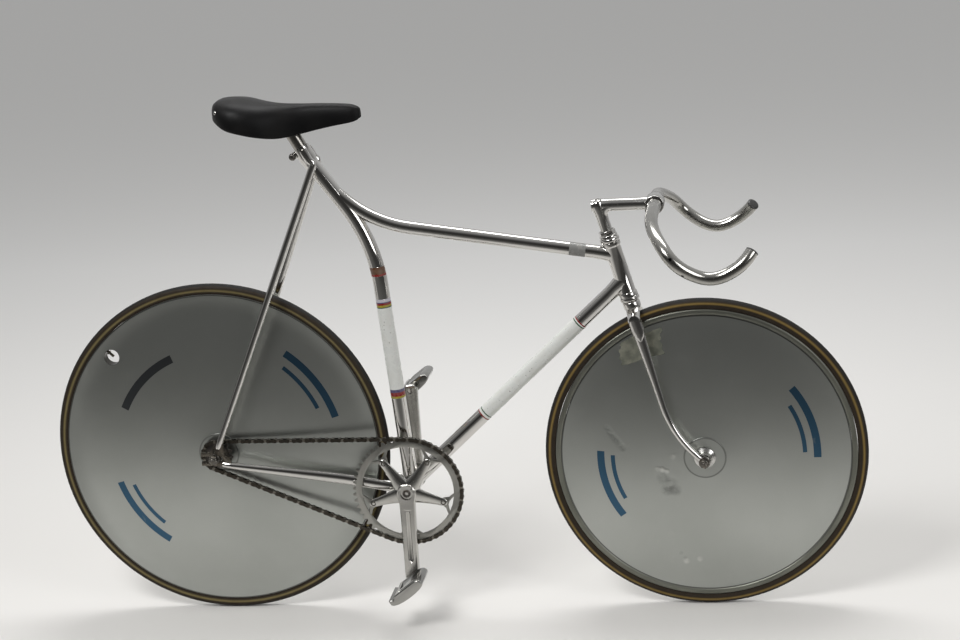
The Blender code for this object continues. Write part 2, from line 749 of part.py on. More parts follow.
def track_end_outline():
    """Plate around the rear axle: slot prongs behind, tabs for both stays in front."""
    chain_tab = chain_stay_direction() * -1
    seat_tab = seat_stay_direction()
    front = Vector((TRACK_SLOT_FRONT + TRACK_SLOT_HALF, 0.0, 0.0))
    outline = [(-TRACK_END_BACK, -TRACK_END_HALF_HEIGHT), (0.0, -TRACK_END_HALF_HEIGHT)]
    outline += tab_corners(chain_tab, CHAIN_TAB_REACH, CHAIN_TAB_HALF)
    outline.append((front.x + CHAIN_TAB_HALF, CHAIN_TAB_HALF))
    outline += tab_corners(seat_tab, SEAT_TAB_REACH, SEAT_TAB_HALF)
    outline += [(-TRACK_END_HALF_HEIGHT / 2, TRACK_END_HALF_HEIGHT), (-TRACK_END_BACK, TRACK_END_HALF_HEIGHT)]
    return outline


def tab_corners(direction, reach, half):
    """The two corners of a tab that points along direction in the XZ plane."""
    level = Vector((direction.x, 0.0, direction.z)).normalized()
    beside = Vector((level.z, 0.0, -level.x))
    tip = level * reach
    return [(corner.x, corner.z) for corner in (tip + beside * half, tip - beside * half)]


def chain_stay_corners(sign):
    """Centre line of one chain stay, from the shell to the track end."""
    end_half = REAR_DROPOUT_HALF + TRACK_END_THICKNESS / 2
    start = Vector((0.0, sign * CHAIN_STAY_AT_SHELL, -CHAIN_STAY_SHELL_DROP))
    end = Vector((REAR_AXLE.x, sign * end_half, REAR_AXLE.z - CHAIN_STAY_AXLE_DROP))
    bend = start.lerp(end, CHAIN_STAY_BEND_X / REAR_AXLE.x)
    bend.y = sign * CHAIN_STAY_AT_BEND
    return [start, bend, end]


def chain_stay_direction():
    """Direction of a chain stay at its rear end, in the XZ plane, pointing back."""
    corners = chain_stay_corners(1)
    return Vector((corners[2].x - corners[1].x, 0.0, corners[2].z - corners[1].z)).normalized()


def stay_top(sign):
    """Point beside the seat tube where a seat stay turns into its cap."""
    forward = Vector((SEAT_UP.z, 0.0, -SEAT_UP.x))
    down = SEAT_UP * (SEAT_STAY_CAP_INSET + SEAT_STAY_CAP_LENGTH)
    beside = SEAT_TOP - down + forward * SEAT_STAY_CAP_FORWARD
    return Vector((beside.x, sign * SEAT_STAY_TOP_HALF, beside.z))


def seat_stay_direction():
    """Direction of a seat stay from the rear axle, in the XZ plane."""
    top = stay_top(1)
    return Vector((top.x - REAR_AXLE.x, 0.0, top.z - REAR_AXLE.z)).normalized()


def build_track_ends(bike):
    """The two slotted rear track ends."""
    ends = []
    middle = REAR_DROPOUT_HALF + TRACK_END_THICKNESS / 2
    for side, sign in (("right", -1), ("left", 1)):
        mesh = plate(track_end_outline(), TRACK_END_THICKNESS)
        place = REAR_AXLE + LEFT * (sign * middle)
        piece = put("track_end_" + side, mesh, bike, "chrome", place)
        reach = TRACK_END_BACK + OVERRUN
        slot = [(TRACK_SLOT_FRONT, -TRACK_SLOT_HALF)]
        for k in range(1, 5):
            angle = math.pi * k / 5 - math.pi / 2
            round_x = TRACK_SLOT_FRONT + TRACK_SLOT_HALF * math.cos(angle)
            slot.append((round_x, TRACK_SLOT_HALF * math.sin(angle)))
        slot += [(TRACK_SLOT_FRONT, TRACK_SLOT_HALF), (-reach, TRACK_SLOT_HALF), (-reach, -TRACK_SLOT_HALF)]
        cutter = put("track_slot_" + side, plate(slot, TRACK_END_THICKNESS + OVERRUN), bike, None, place)
        combine(piece, cutter, "DIFFERENCE")
        grown = plate(track_end_outline(), TRACK_END_THICKNESS + 2 * GAP)
        ends.append(put("track_end_room_" + side, grown, bike, None, place))
    return ends


def build_stays(bike, rooms, seat_cutter, shell_cutter):
    """Chain stays and seat stays, slotted over the track ends' tabs."""
    for (side, sign), room in zip((("right", -1), ("left", 1)), rooms):
        shell_end, bend, axle = chain_stay_corners(sign)
        back = chain_stay_direction()
        tab_tip = axle - back * (CHAIN_TAB_REACH + GAP)
        path = rounded_path([shell_end, bend, tab_tip], [CHAIN_STAY_BEND_RADIUS])
        path.append(axle - back * (CHAIN_TAB_REACH - FILLET_REACH))
        sizes = []
        for share in lengths_along(path):
            taper = blend(STAY_TAPER_SHARES, share)
            width = CHAIN_STAY_HALF_WIDTH + (CHAIN_STAY_END_HALF - CHAIN_STAY_HALF_WIDTH) * taper
            height = CHAIN_STAY_HALF_HEIGHT + (CHAIN_STAY_END_HALF - CHAIN_STAY_HALF_HEIGHT) * taper
            sizes.append((width, height))
        piece = tube("chain_stay_" + side, path, sizes, STAY_SIDES, bike, "chrome", LEFT)
        combine(piece, shell_cutter, "DIFFERENCE")
        combine(piece, room, "DIFFERENCE")
        axle = REAR_AXLE + LEFT * (sign * (REAR_DROPOUT_HALF + TRACK_END_THICKNESS / 2))
        up = seat_stay_direction()
        foot = axle + up * (SEAT_TAB_REACH - FILLET_REACH)
        tab_tip = axle + up * (SEAT_TAB_REACH + GAP)
        top = stay_top(sign)
        grown = tab_tip.lerp(top, SEAT_STAY_TAPER_END_SHARE)
        path = [foot, tab_tip, grown, top, top + SEAT_UP * SEAT_STAY_CAP_LENGTH]
        sizes = [(SEAT_STAY_END_RADIUS, SEAT_STAY_END_RADIUS)] * 2
        sizes += [(SEAT_STAY_TOP_RADIUS, SEAT_STAY_TOP_RADIUS)] * 2
        sizes.append((SEAT_STAY_CAP_HALF, SEAT_STAY_TOP_RADIUS))
        piece = tube("seat_stay_" + side, path, sizes, STAY_SIDES, bike, "chrome", LEFT)
        combine(piece, seat_cutter, "DIFFERENCE")
        combine(piece, room, "DIFFERENCE")


def build_seat_post(bike):
    """Seat post with the clamp that holds the saddle's rails."""
    foot = SEAT_TOP - SEAT_UP * POST_INSERTION
    stalk = rod(Vector((0, 0, 0)), POST_TOP - foot, POST_RADIUS, TUBE_SIDES)
    post = put("seat_post", stalk, bike, "polished_alloy", foot)
    head = bmesh.new()
    bmesh.ops.create_cube(head, size=1.0)
    half_height = RAIL_RADIUS + CLAMP_ABOVE_RAIL
    size = Vector((CLAMP_HALF_LENGTH, RAIL_HALF_SPAN + CLAMP_BESIDE_RAIL, half_height)) * 2
    bmesh.ops.scale(head, verts=head.verts, vec=size)
    bmesh.ops.bevel(head, geom=head.edges[:], offset=half_height / 3, segments=1, affect="EDGES")
    combine(post, put("seat_clamp", head, bike, None, POST_TOP), "UNION")
    grooves = rail_mesh(RAIL_RADIUS + GAP)
    combine(post, put("rail_grooves", grooves, bike), "DIFFERENCE")
    return post


def rail_path():
    """The saddle rail: one rod from the rear right, round the nose and back to the rear left."""
    rear_x = SADDLE_REAR_X + SADDLE_LENGTH * RAIL_REAR_SHARE
    level_x = rear_x + SADDLE_LENGTH * RAIL_REAR_RUN_SHARE
    front_x = POST_TOP.x + CLAMP_HALF_LENGTH * RAIL_STRAIGHT_SHARE
    nose_x = SADDLE_REAR_X + SADDLE_LENGTH * RAIL_NOSE_SHARE
    rail_z = POST_TOP.z
    lift = SADDLE_DEPTH * RAIL_LIFT_SHARE
    corners = []
    for sign in (-1, 1):
        half = [
            Vector((rear_x, sign * RAIL_HALF_SPAN * RAIL_REAR_SPREAD_SHARE, rail_z + lift)),
            Vector((level_x, sign * RAIL_HALF_SPAN, rail_z)),
            Vector((front_x, sign * RAIL_HALF_SPAN, rail_z)),
            Vector((nose_x, sign * RAIL_NOSE_HALF, rail_z + lift * RAIL_NOSE_LIFT_SHARE)),
        ]
        corners += half if sign < 0 else list(reversed(half))
    bends = [RAIL_RADIUS * share for share in RAIL_BEND_SHARES] + [RAIL_NOSE_HALF * RAIL_NOSE_BEND_SHARE]
    return rounded_path(corners, bends + list(reversed(bends)))


def rail_mesh(radius):
    """The saddle rail as a round rod of the given radius."""
    path = rail_path()
    return sweep(path, [(radius, radius)] * len(path), 8)


def saddle_mesh():
    """The saddle's shell: one crowned top over open sides, lofted from the rear to the nose."""
    rings = []
    for station, width, below, depth in SADDLE_SECTION_SHARES:
        x = SADDLE_REAR_X + SADDLE_LENGTH * station
        top = SADDLE_TOP_Z - SADDLE_DEPTH * below
        right = []
        for side, down in SADDLE_RING_SHARES:
            right.append(Vector((x, -SADDLE_HALF_WIDTH * width * side, top - SADDLE_DEPTH * depth * down)))
        left = [Vector((p.x, -p.y, p.z)) for p in reversed(right[1:-1])]
        rings.append(right + left)
    return loft(rings)


def build_saddle(bike):
    """Saddle and its rails."""
    saddle = put("saddle", saddle_mesh(), bike, "black_leather")
    combine(saddle, put("rail_sockets", rail_mesh(RAIL_RADIUS + GAP), bike), "DIFFERENCE")
    put("saddle_rails", rail_mesh(RAIL_RADIUS), bike, "chrome")


def binder_centre():
    """Centre of the seat binder bolt, behind the seat lug."""
    back = Vector((-math.cos(SEAT_UPPER_TILT), 0.0, -math.sin(SEAT_UPPER_TILT)))
    return SEAT_TOP - SEAT_UP * BINDER_BELOW_TOP + back * BINDER_BEHIND_POST


def build_binder(bike):
    """Seat binder bolt through the seat lug's ears, its heads outside them."""
    face = BINDER_EAR_HALF + GAP
    end = face + BINDER_RADIUS
    profile = [
        (BINDER_HEAD_RADIUS, -end),
        (BINDER_HEAD_RADIUS, -face),
        (BINDER_RADIUS, -face),
        (BINDER_RADIUS, face),
        (BINDER_HEAD_RADIUS, face),
        (BINDER_HEAD_RADIUS, end),
    ]
    put("seat_binder_bolt", turned_solid(profile, SMALL_STEPS), bike, "dark_steel", binder_centre())


# Steering

def build_headset(axis):
    """Pressed cups of the head tube."""
    bore = STEERER_RADIUS + RUNNING_GAP
    inner = HEAD_TUBE_BORE - GAP
    low = HEAD_TUBE_START - GAP
    lower = [
        (bore, low - CUP_FLANGE_HEIGHT),
        (CUP_FLANGE_RADIUS, low - CUP_FLANGE_HEIGHT),
        (CUP_FLANGE_RADIUS, low),
        (inner, low),
        (inner, low + CUP_INSERTION),
        (bore, low + CUP_INSERTION),
    ]
    put("headset_lower_cup", along_z(turned(lower, HUB_STEPS)), axis, "chrome")
    high = HEAD_TUBE_END + GAP
    upper = [
        (bore, high - CUP_INSERTION),
        (inner, high - CUP_INSERTION),
        (inner, high),
        (CUP_FLANGE_RADIUS, high),
        (CUP_FLANGE_RADIUS, high + CUP_FLANGE_HEIGHT),
        (bore, high + CUP_FLANGE_HEIGHT),
    ]
    put("headset_upper_cup", along_z(turned(upper, HUB_STEPS)), axis, "chrome")


def build_fork_crown(steering):
    """Fork crown with its race and the steerer, arched over the tyre."""
    rings = []
    for station in CROWN_STATION_SHARES:
        drop = blend(CROWN_DROP_SHARES, abs(station))
        top = -drop * CROWN_CENTRE_HEIGHT * CROWN_TOP_DROP_SHARE
        bottom = -CROWN_CENTRE_HEIGHT - drop * (CROWN_SHOULDER_DROP - CROWN_CENTRE_HEIGHT)
        centre = Vector((0.0, station * CROWN_HALF_WIDTH, (top + bottom) / 2))
        depth = CROWN_HALF_DEPTH * blend(CROWN_DEPTH_SHARES, abs(station))
        height = (top - bottom) / 2 * blend(CROWN_HEIGHT_SHARES, abs(station))
        rings.append(rounded_box(centre, depth, height))
    crown = put("fork_crown", loft(rings), steering, "chrome")
    top = HEAD_TUBE_END + HEADSET_TOP_HEIGHT - STEERER_TOP_INSET
    race = [
        (RACE_RADIUS, -CROWN_CENTRE_HEIGHT / 2),
        (RACE_RADIUS, HEAD_TUBE_START - GAP - CUP_FLANGE_HEIGHT - RACE_GAP),
        (STEERER_RADIUS, HEAD_TUBE_START - GAP - CUP_FLANGE_HEIGHT - RACE_GAP),
        (STEERER_RADIUS, top),
    ]
    steerer = put("steerer", along_z(turned_solid(race, HUB_STEPS)), steering)
    combine(crown, steerer, "UNION")
    clear = FRONT_WHEEL_RADIUS + TYRE_CLEARANCE
    arch = pin_mesh(clear, TYRE_HALF_WIDTH + TYRE_CLEARANCE + GAP, WHEEL_STEPS)
    combine(crown, put("tyre_arch", arch, steering, None, AXLE_IN_FORK), "DIFFERENCE")
    bore = [(STEERER_BORE, top - QUILL_INSERTION - OVERRUN), (STEERER_BORE, top + OVERRUN)]
    combine(crown, put("steerer_bore", along_z(turned_solid(bore, HUB_STEPS)), steering), "DIFFERENCE")


def rounded_box(centre, half_x, half_z):
    """Ring of an upright box with cut corners, in the XZ plane."""
    cut = min(half_x, half_z) * CROWN_CUT_SHARE
    corners = [
        (half_x, half_z - cut), (half_x - cut, half_z), (cut - half_x, half_z), (-half_x, half_z - cut),
        (-half_x, cut - half_z), (cut - half_x, -half_z), (half_x - cut, -half_z), (half_x, cut - half_z),
    ]
    return [centre + Vector((x, 0.0, z)) for x, z in corners]


def blade_corners(sign):
    """Centre line of one fork blade: straight down the steering axis, then swept forward to the axle."""
    slope = (BLADE_END_HALF - BLADE_TOP_HALF) / FORK_LENGTH
    corner_z = -FORK_LENGTH + FORK_RAKE / math.tan(BLADE_BEND_ANGLE)
    start = Vector((0.0, sign * (BLADE_TOP_HALF + slope * CROWN_SHOULDER_DROP), -CROWN_SHOULDER_DROP - GAP))
    corner = Vector((0.0, sign * (BLADE_TOP_HALF - slope * corner_z), corner_z))
    end = Vector((FORK_RAKE, sign * BLADE_END_HALF, -FORK_LENGTH))
    return [start, corner, end]


def build_fork_blades(steering):
    """Tapered fork blades, each with its slotted end."""
    for side, sign in (("right", -1), ("left", 1)):
        corners = blade_corners(sign)
        back = (corners[1] - corners[2]).normalized()
        corners[2] = corners[2] + back * FORK_END_RADIUS
        reach = min((corners[2] - corners[1]).length, (corners[1] - corners[0]).length)
        radius = min(BLADE_BEND_RADIUS, BEND_ROOM_SHARE * reach / math.tan(BLADE_BEND_ANGLE / 2))
        path = rounded_path(corners, [radius])
        straight = path[1] - path[0]
        path = [path[0]] + [path[0] + straight * k / 3 for k in (1, 2)] + path[1:]
        sizes = []
        for share in lengths_along(path):
            way = blend(BLADE_TAPER_SHARES, share)
            width = BLADE_TOP_WIDTH + (BLADE_END_RADIUS - BLADE_TOP_WIDTH) * way
            depth = BLADE_TOP_DEPTH + (BLADE_END_RADIUS - BLADE_TOP_DEPTH) * way
            sizes.append((width, depth))
        piece = tube("fork_blade_" + side, path, sizes, STAY_SIDES, steering, "chrome", LEFT)
        middle = sign * (FRONT_DROPOUT_HALF + FORK_END_THICKNESS / 2)
        place = Vector((FORK_RAKE, middle, -FORK_LENGTH))
        tip = put("fork_end_" + side, fork_end_mesh(back), steering, None, place)
        combine(piece, tip, "UNION")
        combine(piece, put("fork_slot_" + side, fork_slot_mesh(), steering, None, place), "DIFFERENCE")


def fork_end_mesh(back):
    """Round plate at the blade's end with a tongue that runs up into the blade."""
    level = Vector((back.x, 0.0, back.z)).normalized()
    beside = Vector((level.z, 0.0, -level.x))
    outline = []
    for k in range(9):
        angle = math.pi * k / 8
        point = beside * (FORK_END_RADIUS * math.cos(angle)) - level * (FORK_END_RADIUS * math.sin(angle))
        outline.append((point.x, point.z))
    tongue = level * (FORK_END_RADIUS * 2.2)
    half = BLADE_END_RADIUS * 0.7
    outline.append(((tongue - beside * half).x, (tongue - beside * half).z))
    outline.append(((tongue + beside * half).x, (tongue + beside * half).z))
    return plate(outline, FORK_END_THICKNESS)


def fork_slot_mesh():
    """Slot of a fork end, open along the steering axis's downward direction."""
    half = AXLE_RADIUS + GAP
    low = -FORK_END_RADIUS - OVERRUN
    outline = [(half, 0.0), (half, low), (-half, low), (-half, 0.0)]
    for k in range(1, 5):
        angle = math.pi - math.pi * k / 5
        outline.append((half * math.cos(angle), half * math.sin(angle)))
    return plate(outline, FORK_END_THICKNESS + OVERRUN)


def build_locknut(steering):
    """Adjustable race and locknut on the steerer, above the upper cup."""
    low = HEAD_TUBE_END + GAP + CUP_FLANGE_HEIGHT + RACE_GAP
    high = HEAD_TUBE_END + HEADSET_TOP_HEIGHT
    bore = STEERER_RADIUS + GAP
    waist = low + (high - low) * 0.5
    profile = [
        (bore, low),
        (ADJUSTER_RADIUS, low),
        (ADJUSTER_RADIUS, waist - COLLAR_STEP),
        (LOCKNUT_RADIUS - COLLAR_STEP, waist),
        (LOCKNUT_RADIUS, waist + COLLAR_STEP),
        (LOCKNUT_RADIUS, high),
        (bore, high),
    ]
    put("headset_locknut", along_z(turned(profile, HUB_STEPS)), steering, "chrome")


def stem_forward():
    """The stem's level direction, seen in the steering frame."""
    return Vector((math.cos(HEAD_TILT), 0.0, -math.sin(HEAD_TILT)))


def bar_centre():
    """Centre of the bar clamp, in the steering frame."""
    return Vector((0.0, 0.0, STEM_HEIGHT)) + stem_forward() * STEM_EXTENSION


def build_stem(steering):
    """Quill stem: quill in the steerer, level extension and bar clamp."""
    steerer_top = HEAD_TUBE_END + HEADSET_TOP_HEIGHT - STEERER_TOP_INSET
    head_top = STEM_HEIGHT + STEM_HALF_HEIGHT
    profile = [
        (QUILL_RADIUS, steerer_top - QUILL_INSERTION),
        (QUILL_RADIUS, STEM_HEIGHT - STEM_HALF_HEIGHT * 2),
        (STEM_HEAD_RADIUS, STEM_HEIGHT - STEM_HALF_HEIGHT),
        (STEM_HEAD_RADIUS, head_top - COLLAR_STEP),
        (STEM_HEAD_RADIUS - COLLAR_STEP, head_top),
    ]
    stem = put("stem", along_z(turned_solid(profile, HUB_STEPS)), steering, "polished_alloy")
    forward = stem_forward()
    start = Vector((0.0, 0.0, STEM_HEIGHT))
    end = bar_centre()
    path = [start, start + forward * STEM_HEAD_RADIUS, end - forward * STEM_CLAMP_RADIUS, end]
    sizes = [(STEM_HALF_WIDTH, STEM_HALF_HEIGHT)] * 4
    combine(stem, put("stem_extension", sweep(path, sizes, TUBE_SIDES, LEFT), steering), "UNION")
    clamp = pin_mesh(STEM_CLAMP_RADIUS, STEM_CLAMP_HALF, HUB_STEPS)
    combine(stem, put("stem_clamp", clamp, steering, None, end), "UNION")
    room = pin_mesh(BAR_SLEEVE_RADIUS + GAP, STEM_CLAMP_HALF + OVERRUN, TUBE_SIDES)
    combine(stem, put("stem_bar_bore", room, steering, None, end), "DIFFERENCE")


def smooth_curve(controls, steps):
    """Cubic B-spline that starts and ends on its first and last control points."""
    padded = [controls[0]] * 2 + controls + [controls[-1]] * 2
    points = []
    for a, b, c, d in zip(padded, padded[1:], padded[2:], padded[3:]):
        for k in range(steps):
            t = k / steps
            near = (1 - t) ** 3 * a + (3 * t**3 - 6 * t**2 + 4) * b
            far = (1 + 3 * t + 3 * t**2 - 3 * t**3) * c + t**3 * d
            points.append((near + far) / 6)
    return points + [controls[-1].copy()]


def bar_path():
    """The whole bar's centre line from the right end to the left end, straight through the stem's clamp."""
    left = []
    for reach, span, drop in BAR_CURVE_SHARES:
        left.append(Vector((reach * BAR_REACH, span * BAR_HALF_WIDTH, drop * BAR_DROP)))
    left = smooth_curve(left, BAR_STEPS)
    right = [Vector((p.x, -p.y, p.z)) for p in reversed(left)]
    sleeve = [Vector((0.0, share * BAR_SLEEVE_HALF, 0.0)) for share in SLEEVE_SHARES]
    return right + sleeve + left


def build_handlebar(steering):
    """Cow-horn bar with its centre sleeve, and a plug in each end."""
    level = axis_empty("bar_level", steering, bar_centre(), HEAD_TILT)
    path = bar_path()
    sizes = []
    for point in path:
        radius = BAR_SLEEVE_RADIUS if abs(point.y) < BAR_SLEEVE_HALF * SLEEVE_SHARES[-1] else BAR_RADIUS
        sizes.append((radius, radius))
    mesh = sweep(path, sizes, BAR_SIDES)
    put("handlebar", mesh, level, "anodised_alloy")
    for side, inner, end in (("right", path[1], path[0]), ("left", path[-2], path[-1])):
        ahead = (end - inner).normalized()
        start = end + ahead * GAP
        stop = start + ahead * BAR_PLUG_THICKNESS
        mesh = rod(Vector((0, 0, 0)), stop - start, BAR_RADIUS, BAR_SIDES)
        put("bar_plug_" + side, mesh, level, "black_plastic", start)


# Wheels

def disc_profile(rim_radius, hub_half, edge_half):
    """Half section of a lenticular disc, from its bore to its rim, closed on itself."""
    bore = HUB_BARREL_RADIUS + GAP
    inner_rim = rim_radius - RIM_DEPTH
    one_side = [
        (bore, hub_half),
        (DISC_HUB_RADIUS, hub_half),
        (DISC_HUB_RADIUS, hub_half - FLANGE_LIP),
    ]
    for share in DISC_BULGE_SHARES:
        radius = DISC_HUB_RADIUS + (inner_rim - DISC_HUB_RADIUS) * share
        bulge = hub_half - FLANGE_LIP + (edge_half - hub_half) * share
        bulge += (hub_half - edge_half) * DISC_BULGE_SHARE * math.sin(math.pi * share)
        one_side.append((radius, bulge))
    one_side += [
        (inner_rim, edge_half - FLANGE_LIP / 2),
        (inner_rim, edge_half + FLANGE_LIP / 2),
        (rim_radius, edge_half),
    ]
    mirrored = [(radius, -y) for radius, y in reversed(one_side)]
    return one_side + mirrored


def tyre_profile(outer_radius, rim_radius):
    """Section of a tubular tyre: round outside, seated on the rim inside."""
    middle = outer_radius - TYRE_HALF_WIDTH
    points = []
    for k in range(5):
        angle = math.pi * (k / 4 * TYRE_ARC_SHARE - (TYRE_ARC_SHARE - 1) / 2)
        points.append((middle + TYRE_HALF_WIDTH * math.sin(angle), TYRE_HALF_WIDTH * math.cos(angle)))
    seat = rim_radius + GAP
    points += [(seat, -TYRE_HALF_WIDTH * TYRE_SEAT_SHARE), (seat, TYRE_HALF_WIDTH * TYRE_SEAT_SHARE)]
    return points


def build_wheel(name, axle, outer_radius, hub_half, disc_hub_half):
    """Hub, lens-shaped disc and tubular tyre of one wheel, about its axle."""
    rim_radius = outer_radius - TYRE_HALF_WIDTH * TYRE_DEPTH_SHARE
    profile = disc_profile(rim_radius, disc_hub_half, RIM_HALF_WIDTH)
    disc = put(name + "_disc", turned(profile, WHEEL_STEPS), axle, "satin_disc")
    put(name + "_tyre", turned(tyre_profile(outer_radius, rim_radius), WHEEL_STEPS), axle, "tyre_rubber")
    bore = AXLE_RADIUS + RUNNING_GAP
    reach = disc_hub_half + FLANGE_LIP * 2
    hub = [
        (bore, -hub_half),
        (HUB_END_RADIUS, -hub_half),
        (HUB_END_RADIUS, -reach - FLANGE_LIP),
        (HUB_BARREL_RADIUS, -reach + FLANGE_LIP),
        (HUB_BARREL_RADIUS, reach - FLANGE_LIP),
        (HUB_END_RADIUS, reach + FLANGE_LIP),
        (HUB_END_RADIUS, hub_half),
        (bore, hub_half),
    ]
    put(name + "_hub", turned(hub, HUB_STEPS), axle, "polished_alloy")
    return disc


def cut_valve_hole(disc, axle, rim_radius, angle):
    """Round hole through a disc near its rim, with the tyre's valve stem standing in it."""
    radius = rim_radius - VALVE_HOLE_FROM_RIM
    centre = Vector((math.cos(angle) * radius, 0.0, math.sin(angle) * radius))
    outward = centre.normalized()
    half = RIM_HALF_WIDTH * 3
    hole = turned_solid([(VALVE_HOLE_RADIUS, -half), (VALVE_HOLE_RADIUS, half)], SMALL_STEPS)
    hole = put("valve_hole", hole, axle, None, centre)
    stem = rod(Vector((0, 0, 0)), outward * VALVE_HOLE_RADIUS * 2, VALVE_STEM_RADIUS, 8)
    combine(hole, put("valve_stem", stem, axle, None, centre), "DIFFERENCE")
    combine(disc, hole, "DIFFERENCE")


def build_axle(name, parent, place, hub_half, dropout_half, plate_thickness):
    """Wheel axle with its cones, washers and nuts, gripping the frame's or fork's ends."""
    inner = hub_half + RACE_GAP
    face = dropout_half - GAP
    outer = dropout_half + plate_thickness + GAP
    nut = outer + WASHER_THICKNESS
    nut_radius = NUT_ACROSS_FLATS / 2 / math.cos(math.pi / 6)
    end = nut + NUT_HEIGHT
    half = [
        (AXLE_RADIUS, inner), (CONE_RADIUS, inner), (CONE_RADIUS, face), (AXLE_RADIUS, face),
        (AXLE_RADIUS, outer), (WASHER_RADIUS, outer), (WASHER_RADIUS, nut),
        (nut_radius, nut), (nut_radius, end), (AXLE_RADIUS * 0.9, end), (AXLE_RADIUS * 0.9, end + AXLE_STUB),
    ]
    profile = [(radius, -y) for radius, y in reversed(half)] + half
    put(name, turned_solid(profile, 12), parent, "dark_steel", place)


# Gear

def sprocket_outline(teeth, phase):
    """Outline of a toothed wheel whose gaps hold the chain's pins at this phase."""
    pitch = pitch_radius(teeth)
    step = 2 * math.pi / teeth
    outline = []
    for i in range(teeth):
        pin = phase + i * step
        for share, radius in ((-0.14, pitch - ROLLER_RADIUS), (0.14, pitch - ROLLER_RADIUS),
                              (0.38, pitch + TOOTH_HEIGHT), (0.62, pitch + TOOTH_HEIGHT)):
            angle = pin + share * step
            outline.append((radius * math.cos(angle), radius * math.sin(angle)))
    return outline


def chain_point(count):
    """Point on the chain's centre line, and the direction along it, a number of pitches from the start."""
    ring = pitch_radius(RING_TEETH)
    cog = pitch_radius(COG_TEETH)
    lean = math.asin((ring - cog) / AXLE_DISTANCE)
    line = math.atan2(REAR_AXLE.z, REAR_AXLE.x)
    straight = AXLE_DISTANCE * math.cos(lean) / CHAIN_PITCH
    on_ring = (math.pi + 2 * lean) * RING_TEETH / (2 * math.pi)
    on_cog = (math.pi - 2 * lean) * COG_TEETH / (2 * math.pi)
    top = line - math.pi / 2 + lean
    bottom = line + math.pi / 2 - lean
    count = count % CHAIN_LINKS
    if count < on_ring:
        angle = top - count * 2 * math.pi / RING_TEETH
        ahead = Vector((math.sin(angle), 0, -math.cos(angle)))
        return Vector((math.cos(angle), 0, math.sin(angle))) * ring, ahead
    count -= on_ring
    out = Vector((math.cos(bottom), 0, math.sin(bottom)))
    if count < straight:
        ahead = Vector((math.sin(bottom), 0, -math.cos(bottom)))
        return out * ring + ahead * (count * CHAIN_PITCH), ahead
    count -= straight
    if count < on_cog:
        angle = bottom - count * 2 * math.pi / COG_TEETH
        place = REAR_AXLE + Vector((math.cos(angle), 0, math.sin(angle))) * cog
        return place, Vector((math.sin(angle), 0, -math.cos(angle)))
    count -= on_cog
    ahead = Vector((math.sin(top), 0, -math.cos(top)))
    return REAR_AXLE + Vector((math.cos(top), 0, math.sin(top))) * cog + ahead * (count * CHAIN_PITCH), ahead


def bar_is_clear(point):
    """Whether a chain roller at this point lies outside both sprockets' turning teeth."""
    reach = TOOTH_HEIGHT + math.hypot(PLATE_HALF_HEIGHT, ROLLER_RADIUS) + RUNNING_GAP
    on_ring = point.length > pitch_radius(RING_TEETH) + reach
    on_cog = (point - REAR_AXLE).length > pitch_radius(COG_TEETH) + reach
    return on_ring and on_cog


def chain_mesh():
    """Roller chain as one body: two runs of waisted link plates, joined by the rollers of the free runs."""
    mesh = bmesh.new()
    at_pin = (PLATE_HALF_HEIGHT, CHAIN_INNER_HALF, CHAIN_OUTER_HALF)
    stations = []
    for link in range(CHAIN_LINKS):
        point, ahead = chain_point(link)
        roller = bar_is_clear(point)
        inner_link = link % 2 == 0
        if roller:
            for side in (-1, 1):
                where = point + ahead * (side * ROLLER_RADIUS * 0.9)
                stations.append((where, ahead, *at_pin, side < 0))
        else:
            stations.append((point, ahead, *at_pin, False))
        middle, ahead = chain_point(link + 0.5)
        near = CHAIN_INNER_HALF if inner_link else CHAIN_MIDDLE_HALF
        far = CHAIN_MIDDLE_HALF if inner_link else CHAIN_OUTER_HALF
        stations.append((middle, ahead, PLATE_WAIST_HALF, near, far, False))
    rows = {}
    for sign in (-1, 1):
        rows[sign] = []
        for where, ahead, height, near, far, _ in stations:
            out = Vector((ahead.z, 0.0, -ahead.x))
            corners = ((near, height), (far, height), (far, -height), (near, -height))
            ring = [mesh.verts.new(where + out * rise + LEFT * (sign * half)) for half, rise in corners]
            rows[sign].append(ring)
    count = len(stations)
    for i in range(count):
        j = (i + 1) % count
        bridged = stations[i][5]
        for sign in (-1, 1):
            for k in range(4):
                if bridged and k == 3:
                    continue
                m = (k + 1) % 4
                mesh.faces.new((rows[sign][i][k], rows[sign][i][m], rows[sign][j][m], rows[sign][j][k]))
        if bridged:
            edge = [(i, 0), (j, 0), (j, 3), (i, 3)]
            for (a, ka), (b, kb) in zip(edge, edge[1:] + edge[:1]):
                mesh.faces.new((rows[-1][a][ka], rows[-1][b][kb], rows[1][b][kb], rows[1][a][ka]))
    bmesh.ops.recalc_face_normals(mesh, faces=mesh.faces)
    return mesh


def pin_phase(centre, count):
    """Angle of one chain pin about a sprocket's axis."""
    point, _ = chain_point(count)
    return math.atan2(point.z - centre.z, point.x - centre.x)


def first_cog_pin():
    """The first whole pin that lies on the rear cog."""
    cog = pitch_radius(COG_TEETH) + GAP
    for link in range(CHAIN_LINKS):
        point, _ = chain_point(link)
        if (point - REAR_AXLE).length < cog:
            return link
    return 0


def build_chain(bike):
    """The chain, on the chain line."""
    put("chain", chain_mesh(), bike, "dark_steel", LEFT * -CHAIN_LINE)


